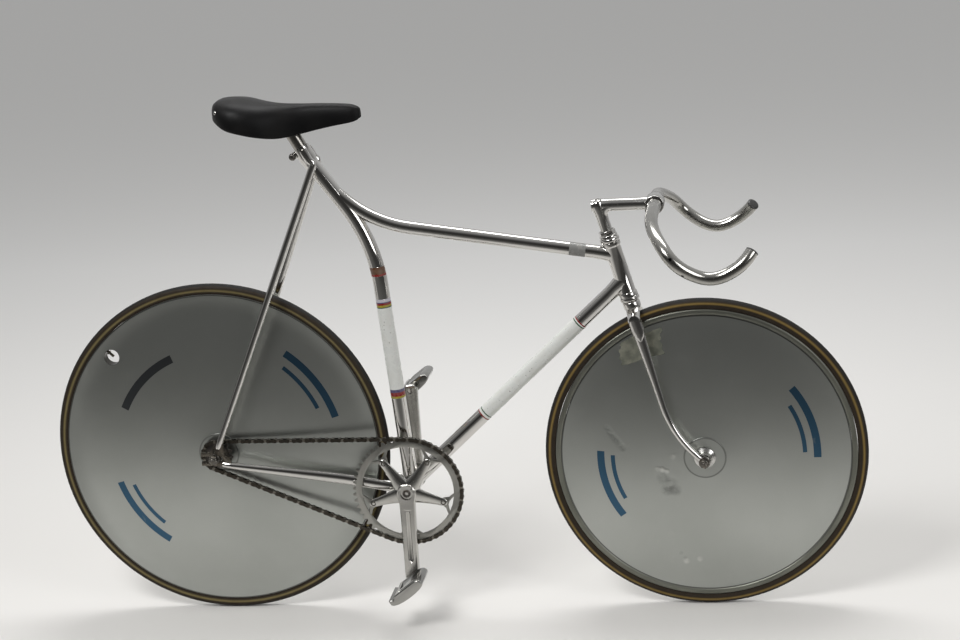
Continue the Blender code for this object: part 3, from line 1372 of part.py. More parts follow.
def build_cog(axle):
    """Fixed rear cog on its threaded hub shoulder."""
    outline = sprocket_outline(COG_TEETH, pin_phase(REAR_AXLE, first_cog_pin()))
    cog = put("cog", plate(outline, RING_THICKNESS), axle, "dark_steel", LEFT * -CHAIN_LINE)
    side = [(COG_HUB_RADIUS, -RING_THICKNESS / 2), (COG_HUB_RADIUS, COG_HUB_WIDTH)]
    carrier = turned_solid(side, HUB_STEPS)
    combine(cog, put("cog_hub", carrier, axle, None, LEFT * -CHAIN_LINE), "UNION")
    bore = pin_mesh(HUB_END_RADIUS + GAP, COG_HUB_WIDTH + OVERRUN, HUB_STEPS)
    combine(cog, put("cog_bore", bore, axle, None, LEFT * -CHAIN_LINE), "DIFFERENCE")


def spider_angle(index):
    """Angle of a spider arm: one lies behind the crank arm, straight down."""
    return -math.pi / 2 + index * 2 * math.pi / BOLTS


def build_chainring(crank):
    """Toothed ring with five Y-shaped tabs that take the bolts."""
    phase = pin_phase(Vector((0, 0, 0)), 0)
    ring = put("chainring", plate(sprocket_outline(RING_TEETH, phase), RING_THICKNESS), crank,
               "anodised_alloy", LEFT * -CHAIN_LINE)
    combine(ring, put("ring_window", ring_window_mesh(), crank, None, LEFT * -CHAIN_LINE), "DIFFERENCE")
    for index in range(BOLTS):
        fork = put("ring_fork", ring_fork_mesh(index), crank, None, LEFT * -CHAIN_LINE)
        combine(ring, fork, "DIFFERENCE")
    return ring


def ring_points(index, places):
    """Points round one bolt of the ring: shares of the angle between bolts, and radii."""
    points = []
    for share, radius in places:
        angle = spider_angle(index) + share * 2 * math.pi / BOLTS
        points.append((radius * math.cos(angle), radius * math.sin(angle)))
    return points


def ring_window_mesh():
    """The opening inside the ring's rim, indented by the five Y-shaped bolt tabs."""
    rim = pitch_radius(RING_TEETH) - ROLLER_RADIUS - RING_RIM_DEPTH
    places = [(share, rim) for share in RIM_ARC_SHARES]
    side = [(share, BOLT_CIRCLE_RADIUS + RING_TAB_RADIUS * rise) for share, rise in RING_TAB_SHARES]
    places += side + [(-share, radius) for share, radius in reversed(side[:-1])]
    outline = []
    for index in range(BOLTS):
        outline += ring_points(index, places)
    return plate(outline, RING_THICKNESS + OVERRUN)


def ring_fork_mesh(index):
    """The small opening between the two branches of one bolt tab."""
    rim = pitch_radius(RING_TEETH) - ROLLER_RADIUS - RING_RIM_DEPTH
    near = BOLT_CIRCLE_RADIUS + RING_TAB_RADIUS * RING_FORK_NEAR_SHARE
    places = [(-RING_FORK_WIDE_SHARE, rim), (0.0, rim), (RING_FORK_WIDE_SHARE, rim)]
    places += [(RING_FORK_NARROW_SHARE, near), (-RING_FORK_NARROW_SHARE, near)]
    return plate(ring_points(index, places), RING_THICKNESS + OVERRUN)


def crank_arm_mesh(sign):
    """Crank arm from its boss on the spindle to the pedal eye, lofted along its length."""
    rings = []
    for share, width, thick in CRANK_ARM_SHARES:
        along = min(max(share, 0.0), 1.0)
        y = sign * (CRANK_ARM_AT_BOSS + (CRANK_ARM_AT_EYE - CRANK_ARM_AT_BOSS) * along)
        centre = Vector((0.0, y, -CRANK_LENGTH * share))
        half_x = CRANK_BOSS_RADIUS * width
        half_y = CRANK_THICKNESS / 2 * thick
        cut = half_y * ARM_CUT_SHARE
        corners = [
            (half_x, half_y - cut), (half_x - cut, half_y), (cut - half_x, half_y), (-half_x, half_y - cut),
            (-half_x, cut - half_y), (cut - half_x, -half_y), (half_x - cut, -half_y), (half_x, cut - half_y),
        ]
        rings.append([centre + Vector((x, side, 0.0)) for x, side in corners])
    return loft(rings)


def build_crank(name, crank, sign, spider):
    """One crank arm with its boss, bored for the spindle and the pedal axle."""
    turn = (0.0, 0.0 if sign < 0 else math.pi, 0.0)
    arm = put(name, crank_arm_mesh(sign), crank, "polished_alloy", (0, 0, 0), turn)
    boss = turned_solid([(CRANK_BOSS_RADIUS, sign * CRANK_INNER_HALF),
                         (CRANK_BOSS_RADIUS, sign * (CRANK_ARM_AT_BOSS + CRANK_THICKNESS / 2))], HUB_STEPS)
    combine(arm, put(name + "_boss", boss, crank), "UNION")
    if spider:
        combine(arm, put("spider", spider_mesh(), crank), "UNION")
    bore = turned_solid([(SPINDLE_RADIUS + GAP, sign * (CRANK_INNER_HALF - OVERRUN)),
                         (SPINDLE_RADIUS + GAP, sign * (SPINDLE_HALF + GAP))], SMALL_STEPS)
    combine(arm, put(name + "_bore", bore, crank), "DIFFERENCE")
    eye = Vector((0.0, 0.0, sign * CRANK_LENGTH))
    hole = turned_solid([(PEDAL_AXLE_RADIUS + GAP, sign * CRANK_INNER_HALF),
                         (PEDAL_AXLE_RADIUS + GAP, sign * (CRANK_ARM_AT_EYE + CRANK_THICKNESS))], SMALL_STEPS)
    combine(arm, put(name + "_eye", hole, crank, None, eye), "DIFFERENCE")


def spider_mesh():
    """Five tapering arms outside the chainring, as one star-shaped plate."""
    outline = []
    tip = BOLT_CIRCLE_RADIUS
    for index in range(BOLTS):
        middle = spider_angle(index)
        out = Vector((math.cos(middle), 0.0, math.sin(middle)))
        beside = Vector((-out.z, 0.0, out.x))
        root = out * tip * SPIDER_ROOT_SHARE
        side = [(root, SPIDER_ARM_HALF)]
        for rise, half in SPIDER_TIP_SHARES:
            side.append((out * (tip + SPIDER_TIP_RADIUS * rise), SPIDER_TIP_RADIUS * half))
        points = [place - beside * half for place, half in side]
        points += [place + beside * half for place, half in reversed(side[:-1])]
        web = middle + math.pi / BOLTS
        points.append(Vector((math.cos(web), 0.0, math.sin(web))) * (CRANK_BOSS_RADIUS * SPIDER_VALLEY_SHARE))
        outline += [(point.x, point.z) for point in points]
    face = CHAIN_LINE + RING_THICKNESS / 2 + GAP
    return plate(outline, SPIDER_THICKNESS, -face - SPIDER_THICKNESS / 2)


def build_spindle(crank):
    """Bottom bracket spindle."""
    profile = [(SPINDLE_RADIUS, -SPINDLE_HALF), (SPINDLE_RADIUS, SPINDLE_HALF)]
    put("crank_spindle", turned_solid(profile, SMALL_STEPS), crank, "dark_steel")


def pedal_outline():
    """Side view of a pedal: flat top deck and a curved shell under it, about its axle."""
    half = PEDAL_LENGTH / 2
    deck = PEDAL_BARREL_RADIUS * PEDAL_DECK_SHARE
    outline = [(half * along, deck * rise) for along, rise in PEDAL_DECK_SHARES]
    for k in range(1, 6):
        angle = math.pi * k / 6
        fall = PEDAL_SHELL_DROP * math.sin(angle)
        outline.append((half * math.cos(angle), deck * PEDAL_SHELL_START_SHARE - fall))
    along, rise = PEDAL_TAIL_SHARES
    outline.append((half * along, deck * rise))
    return hung(outline, PEDAL_TILT)


def hung(outline, tilt):
    """Shifts an outline along X so that its centre of mass hangs under the origin at this tilt."""
    area = 0.0
    centre_x = 0.0
    centre_z = 0.0
    for (x0, z0), (x1, z1) in zip(outline, outline[1:] + outline[:1]):
        cross = x0 * z1 - x1 * z0
        area += cross / 2
        centre_x += (x0 + x1) * cross / 6
        centre_z += (z0 + z1) * cross / 6
    shift = centre_z / area * math.tan(tilt) - centre_x / area
    return [(x + shift, z) for x, z in outline]


def build_pedal(side, sign, crank):
    """Pedal body and its axle. The body hangs free on the axle at the crank's end."""
    eye = Vector((0.0, 0.0, sign * CRANK_LENGTH))
    face = CRANK_ARM_AT_EYE + CRANK_THICKNESS / 2 * 0.92 + GAP
    shoulder = face + PEDAL_COLLAR_LENGTH
    axle = [
        (PEDAL_AXLE_RADIUS, sign * (CRANK_ARM_AT_EYE - CRANK_THICKNESS / 3)),
        (PEDAL_AXLE_RADIUS, sign * face),
        (PEDAL_AXLE_COLLAR, sign * face),
        (PEDAL_AXLE_COLLAR, sign * shoulder),
        (PEDAL_AXLE_RADIUS, sign * shoulder),
        (PEDAL_AXLE_RADIUS, sign * (shoulder + PEDAL_AXLE_LENGTH)),
    ]
    put("pedal_axle_" + side, turned_solid(axle, SMALL_STEPS), crank, "chrome", eye)
    pivot = axis_empty("pedal_pivot_" + side, crank, eye)
    inner = shoulder + RUNNING_GAP * 2
    middle = sign * (inner + PEDAL_WIDTH / 2)
    mesh = plate(pedal_outline(), PEDAL_WIDTH, middle)
    body = put("pedal_" + side, mesh, pivot, "polished_alloy", (0, 0, 0), (0.0, -PEDAL_TILT, 0.0))
    radius = PEDAL_AXLE_RADIUS + RUNNING_GAP
    blind_end = shoulder + PEDAL_AXLE_LENGTH + RUNNING_GAP
    bore = turned_solid([(radius, sign * (inner - OVERRUN)), (radius, sign * blind_end)], SMALL_STEPS)
    combine(body, put("pedal_bore_" + side, bore, pivot), "DIFFERENCE")
    return pivot


# Assembly

def build():
    """Makes the whole bicycle."""
    clear_scene()
    bike = axis_empty("bicycle", None, -RIDER)
    head_axis = axis_empty("head_axis", bike, CROWN_SEAT, -HEAD_TILT)
    steering = axis_empty("steering", head_axis, (0, 0, 0))
    front_axle = axis_empty("front_wheel", steering, AXLE_IN_FORK)
    rear_axle = axis_empty("rear_wheel", bike, REAR_AXLE)
    crank = axis_empty("crank", bike, (0, 0, 0))

    head_cutter = put("head_tube_room", along_z(turned_solid(head_tube_side(GAP), HUB_STEPS)), head_axis)
    path = seat_tube_path()
    seat_radius = MAIN_TUBE_RADIUS + GAP
    room = sweep(path, [(seat_radius, seat_radius)] * len(path), TUBE_SIDES, LEFT)
    seat_cutter = put("seat_tube_room", room, bike)
    lug_radius = SEAT_LUG_RADIUS + GAP
    lug = rod(SEAT_TOP - SEAT_UP * SEAT_LUG_LENGTH, SEAT_TOP + SEAT_UP * OVERRUN, lug_radius, TUBE_SIDES)
    combine(seat_cutter, put("seat_lug_room", lug, bike), "UNION")
    shell_cutter = put("shell_room", pin_mesh(SHELL_RADIUS + GAP, SHELL_HALF, HUB_STEPS), bike)

    build_head_tube(head_axis)
    build_seat_tube(bike)
    build_top_tube(bike, head_cutter, seat_cutter)
    build_down_tube(bike, head_cutter, seat_cutter, shell_cutter)
    build_bottom_bracket(bike, SPINDLE_RADIUS + RUNNING_GAP)
    rooms = build_track_ends(bike)
    build_stays(bike, rooms, seat_cutter, shell_cutter)
    build_seat_post(bike)
    build_saddle(bike)
    build_binder(bike)

    build_headset(head_axis)
    build_fork_crown(steering)
    build_fork_blades(steering)
    build_locknut(steering)
    build_stem(steering)
    build_handlebar(steering)
    build_axle("front_axle", steering, AXLE_IN_FORK, FRONT_HUB_HALF, FRONT_DROPOUT_HALF, FORK_END_THICKNESS)

    build_wheel("front", front_axle, FRONT_WHEEL_RADIUS, FRONT_HUB_HALF, FRONT_DISC_HUB_HALF)
    disc = build_wheel("rear", rear_axle, REAR_WHEEL_RADIUS, REAR_HUB_HALF, REAR_DISC_HUB_HALF)
    cut_valve_hole(disc, rear_axle, REAR_WHEEL_RADIUS - TYRE_HALF_WIDTH * TYRE_DEPTH_SHARE, REAR_VALVE_ANGLE)
    build_axle("rear_axle", bike, REAR_AXLE, REAR_HUB_HALF, REAR_DROPOUT_HALF, TRACK_END_THICKNESS)
    build_cog(rear_axle)
    build_chain(bike)

    build_spindle(crank)
    build_crank("crank_arm_right", crank, -1, True)
    build_crank("crank_arm_left", crank, 1, False)
    build_chainring(crank)
    build_pedal("right", -1, crank)
    build_pedal("left", 1, crank)
    return bike


build()
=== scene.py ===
"""Looks of the track bicycle: smooth pieces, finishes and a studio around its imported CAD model."""
import json
import math

import bmesh
import bpy
from bpy.props import FloatProperty, FloatVectorProperty, IntProperty, PointerProperty
from bpy.types import Operator, Panel, PropertyGroup
from mathutils import Matrix, Vector


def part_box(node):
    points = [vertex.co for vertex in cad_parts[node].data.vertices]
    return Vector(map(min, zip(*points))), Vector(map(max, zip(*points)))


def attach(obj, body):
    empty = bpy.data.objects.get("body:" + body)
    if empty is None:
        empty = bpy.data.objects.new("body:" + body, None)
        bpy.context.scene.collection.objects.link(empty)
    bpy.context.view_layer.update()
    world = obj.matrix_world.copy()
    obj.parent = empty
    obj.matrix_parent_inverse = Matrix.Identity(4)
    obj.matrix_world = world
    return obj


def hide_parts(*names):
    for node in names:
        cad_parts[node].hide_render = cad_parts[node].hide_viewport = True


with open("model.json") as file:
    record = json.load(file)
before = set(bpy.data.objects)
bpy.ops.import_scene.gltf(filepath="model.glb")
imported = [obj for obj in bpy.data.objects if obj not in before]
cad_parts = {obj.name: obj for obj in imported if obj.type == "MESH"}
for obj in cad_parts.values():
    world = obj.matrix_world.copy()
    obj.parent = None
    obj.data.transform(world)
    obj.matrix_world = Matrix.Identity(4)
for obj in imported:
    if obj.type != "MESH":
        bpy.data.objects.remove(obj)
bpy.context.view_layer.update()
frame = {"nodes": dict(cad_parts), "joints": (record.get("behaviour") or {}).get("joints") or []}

bl_info = {
    "name": "Track bicycle looks",
    "version": (1, 0, 0),
    "blender": (4, 5, 0),
    "location": "3D View > Sidebar > Bicycle",
    "description": "Models the visible pieces of the track bicycle on its CAD model and sets up the studio",
    "category": "Object",
}

LEFT = Vector((0.0, 1.0, 0.0))
FORWARD = Vector((1.0, 0.0, 0.0))
SIDES = (("right", -1), ("left", 1))
VIEWPOINT = Vector((0.97299, -3.4118, 0.4777))
TURN = 2 * math.pi


def joint_place(name):
    """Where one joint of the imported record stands."""
    return Vector(next(joint["pos_m"] for joint in frame["joints"] if joint["name"] == name))


CRANK_AXIS = joint_place("crank_spin")
REAR_AXLE = joint_place("rear_wheel_spin")
FRONT_AXLE = joint_place("front_wheel_spin")
CROWN_SEAT = joint_place("steering_turn")
HEAD_UP = Vector(next(joint["axis"] for joint in frame["joints"] if joint["name"] == "steering_turn"))
HEAD_FORWARD = Vector((HEAD_UP.z, 0.0, -HEAD_UP.x))
# Heights of the head tube's two ends above the crown seat
HEAD_START = 0.0192
HEAD_END = 0.1277
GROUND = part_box("rear_tyre")[0].z


def leaning(length, degrees):
    """A run of this length that leans back from the vertical."""
    tilt = math.radians(degrees)
    return Vector((-math.sin(tilt) * length, 0.0, math.cos(tilt) * length))


SEAT_TUBE_LEAN = 3.9
SEAT_POST_LEAN = 28.4
SEAT_CORNER = CRANK_AXIS + leaning(0.4858, SEAT_TUBE_LEAN)
SEAT_ELBOW = SEAT_CORNER + leaning(0.1866, 34.9)
SEAT_UP = leaning(1.0, SEAT_POST_LEAN)
SEAT_TOP = SEAT_ELBOW + SEAT_UP * 0.0365
POST_TOP = SEAT_TOP + SEAT_UP * 0.042


def on_steering(forward, sideways, up):
    """A place given along the fork's own directions from the crown seat."""
    return CROWN_SEAT + HEAD_FORWARD * forward + LEFT * sideways + HEAD_UP * up


def spoke(angle):
    """Direction in the bicycle's own plane at an angle above straight ahead."""
    return Vector((math.cos(angle), 0.0, math.sin(angle)))


def on_side(point, sign):
    """A point as it is, or its twin across the bicycle where sign is -1."""
    return Vector((point.x, sign * point.y, point.z))


# Modelling steps

def rest():
    """Leaves edit mode with nothing selected."""
    if bpy.context.object and bpy.context.object.mode != "OBJECT":
        bpy.ops.object.mode_set(mode="OBJECT")
    bpy.ops.object.select_all(action="DESELECT")


def pick(piece):
    """Makes one piece the only selected and active one."""
    rest()
    piece.select_set(True)
    bpy.context.view_layer.objects.active = piece


def begin(name):
    """A new empty mesh piece in edit mode."""
    rest()
    bpy.ops.mesh.primitive_plane_add(size=0.01)
    piece = bpy.context.object
    piece.name = name
    piece.data.name = name
    bpy.ops.object.mode_set(mode="EDIT")
    bpy.ops.mesh.delete(type="VERT")
    return piece


def choose(piece, wanted):
    """Selects in edit mode the vertices for which wanted is true, with the edges and faces between them."""
    bpy.ops.mesh.select_all(action="DESELECT")
    mesh = bmesh.from_edit_mesh(piece.data)
    mesh.verts.index_update()
    for vert in mesh.verts:
        vert.select = wanted(vert)
    mesh.select_flush(True)
    bmesh.update_edit_mesh(piece.data)


def choose_last(piece, count):
    """Selects the vertices that were added last."""
    total = len(bmesh.from_edit_mesh(piece.data).verts)
    choose(piece, lambda vert: vert.index >= total - count)


def add_ring(place, ahead, across, half_across, half_up, sides):
    """Adds one oval ring to the piece in edit mode."""
    across = (across - ahead * across.dot(ahead)).normalized()
    turn = Matrix((across, ahead.cross(across), ahead)).transposed()
    bpy.ops.mesh.primitive_circle_add(vertices=sides, radius=1.0, location=place, rotation=turn.to_euler())
    bpy.ops.transform.resize(
        value=(half_across, half_up, 1.0), orient_type="GLOBAL", orient_matrix=turn,
        orient_matrix_type="GLOBAL", center_override=place)


def add_chain(piece, points, closed=False):
    """Adds a run of vertices joined by edges, extruded from one vertex."""
    bpy.ops.mesh.select_all(action="DESELECT")
    bpy.ops.mesh.primitive_plane_add(size=0.01, location=points[0])
    bpy.ops.mesh.merge(type="CENTER")
    for before, after in zip(points, points[1:]):
        bpy.ops.mesh.extrude_region_move(TRANSFORM_OT_translate={"value": after - before})
    if closed:
        total = len(bmesh.from_edit_mesh(piece.data).verts)
        ends = (total - 1, total - len(points))
        choose(piece, lambda vert: vert.index in ends)
        bpy.ops.mesh.edge_face_add()
    choose_last(piece, len(points))


def directions(path):
    """Direction of travel at each point of a path."""
    return [(after - before).normalized() for before, after in zip(path[:1] + path, path[1:] + path[-1:])]


def fasten_ring(piece, index, count, sides):
    """Fills the newest ring if it is the first or the last of count, and bridges it to the one before."""
    if index in (0, count - 1):
        bpy.ops.mesh.edge_face_add()
    if index:
        bridge_last(piece, sides)


def add_tube(piece, path, sizes, sides=28, across=LEFT):
    """Adds a tube with closed ends. Sizes is one radius, or a radius or (half across, half up) for each point."""
    if isinstance(sizes, float):
        sizes = [sizes] * len(path)
    side = across
    for i, (place, ahead, size) in enumerate(zip(path, directions(path), sizes)):
        half_across, half_up = size if isinstance(size, tuple) else (size, size)
        side = (side - ahead * side.dot(ahead)).normalized()
        bpy.ops.mesh.select_all(action="DESELECT")
        add_ring(place, ahead, side, half_across, half_up, sides)
        fasten_ring(piece, i, len(path), sides)


def bridge_last(piece, sides):
    """Bridges the last two rings of edges."""
    bpy.ops.mesh.select_all(action="DESELECT")
    mesh = bmesh.from_edit_mesh(piece.data)
    mesh.verts.index_update()
    total = len(mesh.verts)
    for edge in mesh.edges:
        places = [vert.index for vert in edge.verts]
        near = min(places) >= total - sides
        far = min(places) >= total - 2 * sides and max(places) < total - sides
        if near or far:
            edge.select_set(True)
    bmesh.update_edit_mesh(piece.data)
    bpy.ops.mesh.bridge_edge_loops()


def tube(name, path, sizes, sides=28, across=LEFT):
    """A tube with closed ends as a piece of its own."""
    piece = begin(name)
    add_tube(piece, path, sizes, sides, across)
    tidy()
    return piece


def tidy():
    """Merges the edited piece's doubled points, turns its faces outwards and leaves edit mode."""
    bpy.ops.mesh.select_all(action="SELECT")
    bpy.ops.mesh.remove_doubles(threshold=0.000001)
    bpy.ops.mesh.normals_make_consistent(inside=False)
    rest()


def add_turned(piece, profile, place, axis, steps=64):
    """Adds a profile of (radius, height) spun about an axis. A closed profile repeats its first point."""
    level = axis.orthogonal().normalized()
    points = [place + level * radius + axis * height for radius, height in profile]
    bpy.ops.mesh.select_all(action="DESELECT")
    add_chain(piece, points)
    bpy.ops.mesh.spin(steps=steps, angle=TURN, center=place, axis=axis)


def turned(name, profile, place, axis, steps=64):
    """A turned piece of its own."""
    piece = begin(name)
    add_turned(piece, profile, place, axis, steps)
    tidy()
    return piece


def loop(profile):
    """Closes a profile on itself."""
    return list(profile) + [profile[0]]


def mirrored(profile):
    """A closed profile from its half above the middle."""
    return loop(list(profile) + [(radius, -height) for radius, height in reversed(profile)])


def to_side(profile, sign):
    """A profile as it is, or turned to the other side where sign is -1."""
    return [(radius, sign * height) for radius, height in profile]


def rod(radius, low, high, bore=0.0):
    """Profile of a plain cylinder, or of a sleeve where it has a bore."""
    return [(bore, low), (radius, low), (radius, high), (bore, high)]


def eased(profile, reach):
    """Cuts the inner corners of a profile back by reach, so that edges catch light."""
    result = [profile[0]]
    for before, here, after in zip(profile, profile[1:], profile[2:]):
        here = Vector(here)
        for other in (before, after):
            run = Vector(other) - here
            share = min(reach, run.length * 0.4) / max(run.length, 0.000001)
            result.append(tuple(here + run * share))
    return result + [profile[-1]]


def eased_half(profile, reach):
    """A closed profile with eased corners from its half, which starts and ends on the middle."""
    return mirrored(eased(profile, reach)[1:-1])


def plate(name, outline, thickness, middle):
    """A flat plate from an outline of places, centred on the given Y."""
    piece = begin(name)
    add_plate(piece, outline, thickness, middle)
    tidy()
    return piece


def add_plate(piece, outline, thickness, middle):
    """Adds a flat plate to the piece in edit mode."""
    points = [Vector((point.x, middle - thickness / 2, point.z)) for point in outline]
    add_chain(piece, points)
    bpy.ops.mesh.edge_face_add()
    bpy.ops.mesh.extrude_region_move(TRANSFORM_OT_translate={"value": (0.0, thickness, 0.0)})


def apply(piece, kind, **settings):
    """Adds one modifier and applies it."""
    pick(piece)
    modifier = piece.modifiers.new(kind.lower(), kind)
    for key, value in settings.items():
        setattr(modifier, key, value)
    bpy.ops.object.modifier_apply(modifier=modifier.name)


def bevel(piece, width, segments=2, degrees=40.0):
    """Rounds the piece's sharp edges."""
    apply(piece, "BEVEL", width=width, segments=segments, limit_method="ANGLE", angle_limit=math.radians(degrees))


def cut(piece, cutter, operation="DIFFERENCE"):
    """Cuts one piece with another, or joins them, and removes the other."""
    apply(piece, "BOOLEAN", object=cutter, operation=operation, solver="EXACT")
    bpy.data.objects.remove(cutter, do_unlink=True)


def refined(name, node, width, segments=2):
    """A cleaned copy of a CAD node with rounded edges."""
    piece = bpy.data.objects.new(name, frame["nodes"][node].data.copy())
    bpy.context.scene.collection.objects.link(piece)
    piece.data.materials.clear()
    pick(piece)
    bpy.ops.object.mode_set(mode="EDIT")
    bpy.ops.mesh.select_all(action="SELECT")
    bpy.ops.mesh.remove_doubles(threshold=0.000002)
    bpy.ops.mesh.customdata_custom_splitnormals_clear()
    bpy.ops.mesh.mark_sharp(clear=True)
    bpy.ops.mesh.dissolve_limited(angle_limit=math.radians(1.0))
    rest()
    bevel(piece, width, segments)
    return piece


def dress(piece, material, body, nodes=(), degrees=35.0):
    """Shades a finished piece, gives it its finish and fastens it to its body."""
    pick(piece)
    bpy.ops.object.shade_smooth_by_angle(angle=math.radians(degrees))
    piece.data.materials.clear()
    piece.data.materials.append(material)
    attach(piece, body)
    if nodes:
        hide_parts(*nodes)
    rest()
    return piece


# Paths

def half_circle(centre, across, over, radius, steps):
    """Points from one side of a centre to the other, by way of the direction over."""
    angles = [math.pi * k / steps for k in range(steps + 1)]
    return [centre + across * (radius * math.cos(angle)) + over * (radius * math.sin(angle)) for angle in angles]


def rounded(corners, radii, step=4.0):
    """Points along straight runs whose corners are rounded."""
    points = [corners[0].copy()]
    for i in range(1, len(corners) - 1):
        back = (corners[i - 1] - corners[i]).normalized()
        on = (corners[i + 1] - corners[i]).normalized()
        bend = math.pi - back.angle(on)
        reach = radii[i - 1] * math.tan(bend / 2)
        centre = corners[i] + (back + on).normalized() * (radii[i - 1] / math.cos(bend / 2))
        start = corners[i] + back * reach - centre
        axis = back.cross(on).normalized()
        steps = max(3, math.ceil(bend / math.radians(step)))
        points += [centre + Matrix.Rotation(-bend * k / steps, 3, axis) @ start for k in range(steps + 1)]
    return points + [corners[-1].copy()]


def shares_along(path):
    """Share of the whole length at each point of a path."""
    total = [0.0]
    for a, b in zip(path, path[1:]):
        total.append(total[-1] + (b - a).length)
    return [value / total[-1] for value in total]


def read_table(table, share):
    """Reads a table of (share, value) between its points."""
    for (s0, v0), (s1, v1) in zip(table, table[1:]):
        if share <= s1:
            return v0 + (v1 - v0) * (share - s0) / (s1 - s0)
    return table[-1][1]


def split_runs(path, longest):
    """Adds points so that no run is longer than longest."""
    result = [path[0]]
    for a, b in zip(path, path[1:]):
        pieces = max(1, math.ceil((b - a).length / longest))
        result += [a.lerp(b, k / pieces) for k in range(1, pieces + 1)]
    return result


def spline(controls, steps):
    """Cubic B-spline that starts and ends on its first and last control points."""
    padded = [controls[0]] * 2 + controls + [controls[-1]] * 2
    points = []
    for a, b, c, d in zip(padded, padded[1:], padded[2:], padded[3:]):
        for k in range(steps):
            t = k / steps
            near = (1 - t) ** 3 * a + (3 * t ** 3 - 6 * t ** 2 + 4) * b
            points.append((near + (1 + 3 * t + 3 * t ** 2 - 3 * t ** 3) * c + t ** 3 * d) / 6)
    return points + [controls[-1].copy()]


# Finishes

class Field:
    """A socket of a finish's nodes, used in sums like a number."""

    def __init__(self, finish, socket):
        self.finish = finish
        self.socket = socket

    def math(self, operation, *values):
        return self.finish.math(operation, *values)

    def __add__(self, other):
        return self.math("ADD", self, other)

    def __radd__(self, other):
        return self.math("ADD", other, self)

    def __sub__(self, other):
        return self.math("SUBTRACT", self, other)

    def __rsub__(self, other):
        return self.math("SUBTRACT", other, self)

    def __mul__(self, other):
        return self.math("MULTIPLY", self, other)

    def __rmul__(self, other):
        return self.math("MULTIPLY", other, self)

    def __truediv__(self, other):
        return self.math("DIVIDE", self, other)

    def __rtruediv__(self, other):
        return self.math("DIVIDE", other, self)

    def __pow__(self, other):
        return self.math("POWER", self, other)

    def __rpow__(self, other):
        return self.math("POWER", other, self)

    def __gt__(self, other):
        return self.math("GREATER_THAN", self, other)

    def __lt__(self, other):
        return self.math("LESS_THAN", self, other)


class Finish:
    """A material under construction, with the object's own coordinates at hand."""

    def __init__(self, name, metallic=0.0):
        self.material = bpy.data.materials.new(name)
        self.material.use_nodes = True
        self.tree = self.material.node_tree
        self.shader = self.tree.nodes["Principled BSDF"]
        self.place = self.node("ShaderNodeTexCoord").outputs["Object"]
        split = self.node("ShaderNodeSeparateXYZ", {"Vector": self.place})
        self.x = Field(self, split.outputs["X"])
        self.y = Field(self, split.outputs["Y"])
        self.z = Field(self, split.outputs["Z"])
        self.set(Metallic=metallic)

    def node(self, kind, values=None, settings=None):
        """Any node: its settings are set first, then the values or links of its sockets."""
        node = self.tree.nodes.new(kind)
        for key, value in (settings or {}).items():
            if key == "stops":
                self.set_stops(node.color_ramp, value)
            else:
                setattr(node, key, value)
        for key, value in (values or {}).items():
            self.feed(node.inputs[key], value)
        return node

    def set_stops(self, ramp, stops):
        ramp.interpolation = "CONSTANT"
        while len(ramp.elements) < len(stops):
            ramp.elements.new(1.0)
        for element, (place, colour) in zip(ramp.elements, stops):
            element.position = place
            element.color = (*colour, 1.0)

    def feed(self, socket, value):
        if isinstance(value, Field):
            value = value.socket
        if isinstance(value, bpy.types.NodeSocket):
            self.tree.links.new(value, socket)
        else:
            socket.default_value = value

    def set(self, **values):
        """Feeds inputs of the shader, whose names are given with _ for each space."""
        for key, value in values.items():
            self.feed(self.shader.inputs[key.replace("_", " ")], value)

    def math(self, operation, *values):
        node = self.node("ShaderNodeMath", dict(enumerate(values)), {"operation": operation})
        return Field(self, node.outputs[0])

    def noise(self, scale, detail=3.0, stretch=(1.0, 1.0, 1.0), roughness=0.5):
        mapped = self.node("ShaderNodeMapping", {"Vector": self.place, "Scale": stretch})
        node = self.node("ShaderNodeTexNoise", {
            "Vector": mapped.outputs[0], "Scale": scale, "Detail": detail, "Roughness": roughness})
        return Field(self, node.outputs[0])

    def spread(self, value, low, high, out_low=0.0, out_high=1.0):
        node = self.node("ShaderNodeMapRange", {
            "Value": value, "From Min": low, "From Max": high, "To Min": out_low, "To Max": out_high})
        return Field(self, node.outputs[0])

    def mix(self, a, b, factor):
        node = self.node("ShaderNodeMix", settings={"data_type": "RGBA"})
        for index, value in ((0, factor), (6, a), (7, b)):
            if isinstance(value, tuple) and len(value) == 3:
                value = (*value, 1.0)
            self.feed(node.inputs[index], value)
        return node.outputs[2]

    def along(self, start, direction):
        """Distance of a point from start, measured along a direction."""
        node = self.node("ShaderNodeVectorMath", settings={"operation": "SUBTRACT"})
        self.feed(node.inputs[0], self.place)
        self.feed(node.inputs[1], start)
        dot = self.node("ShaderNodeVectorMath", settings={"operation": "DOT_PRODUCT"})
        self.feed(dot.inputs[0], node.outputs[0])
        self.feed(dot.inputs[1], direction)
        return Field(self, dot.outputs["Value"])

    def distance(self, centre):
        node = self.node("ShaderNodeVectorMath", settings={"operation": "DISTANCE"})
        self.feed(node.inputs[0], self.place)
        self.feed(node.inputs[1], centre)
        return Field(self, node.outputs["Value"])

    def from_axis(self, centre):
        """Distance from a level axis across the bicycle."""
        dx = self.x - centre.x
        dz = self.z - centre.z
        return self.math("SQRT", dx * dx + dz * dz)

    def bump(self, height, distance, strength=1.0):
        node = self.node("ShaderNodeBump", {"Height": height, "Distance": distance, "Strength": strength})
        self.set(Normal=node.outputs[0])


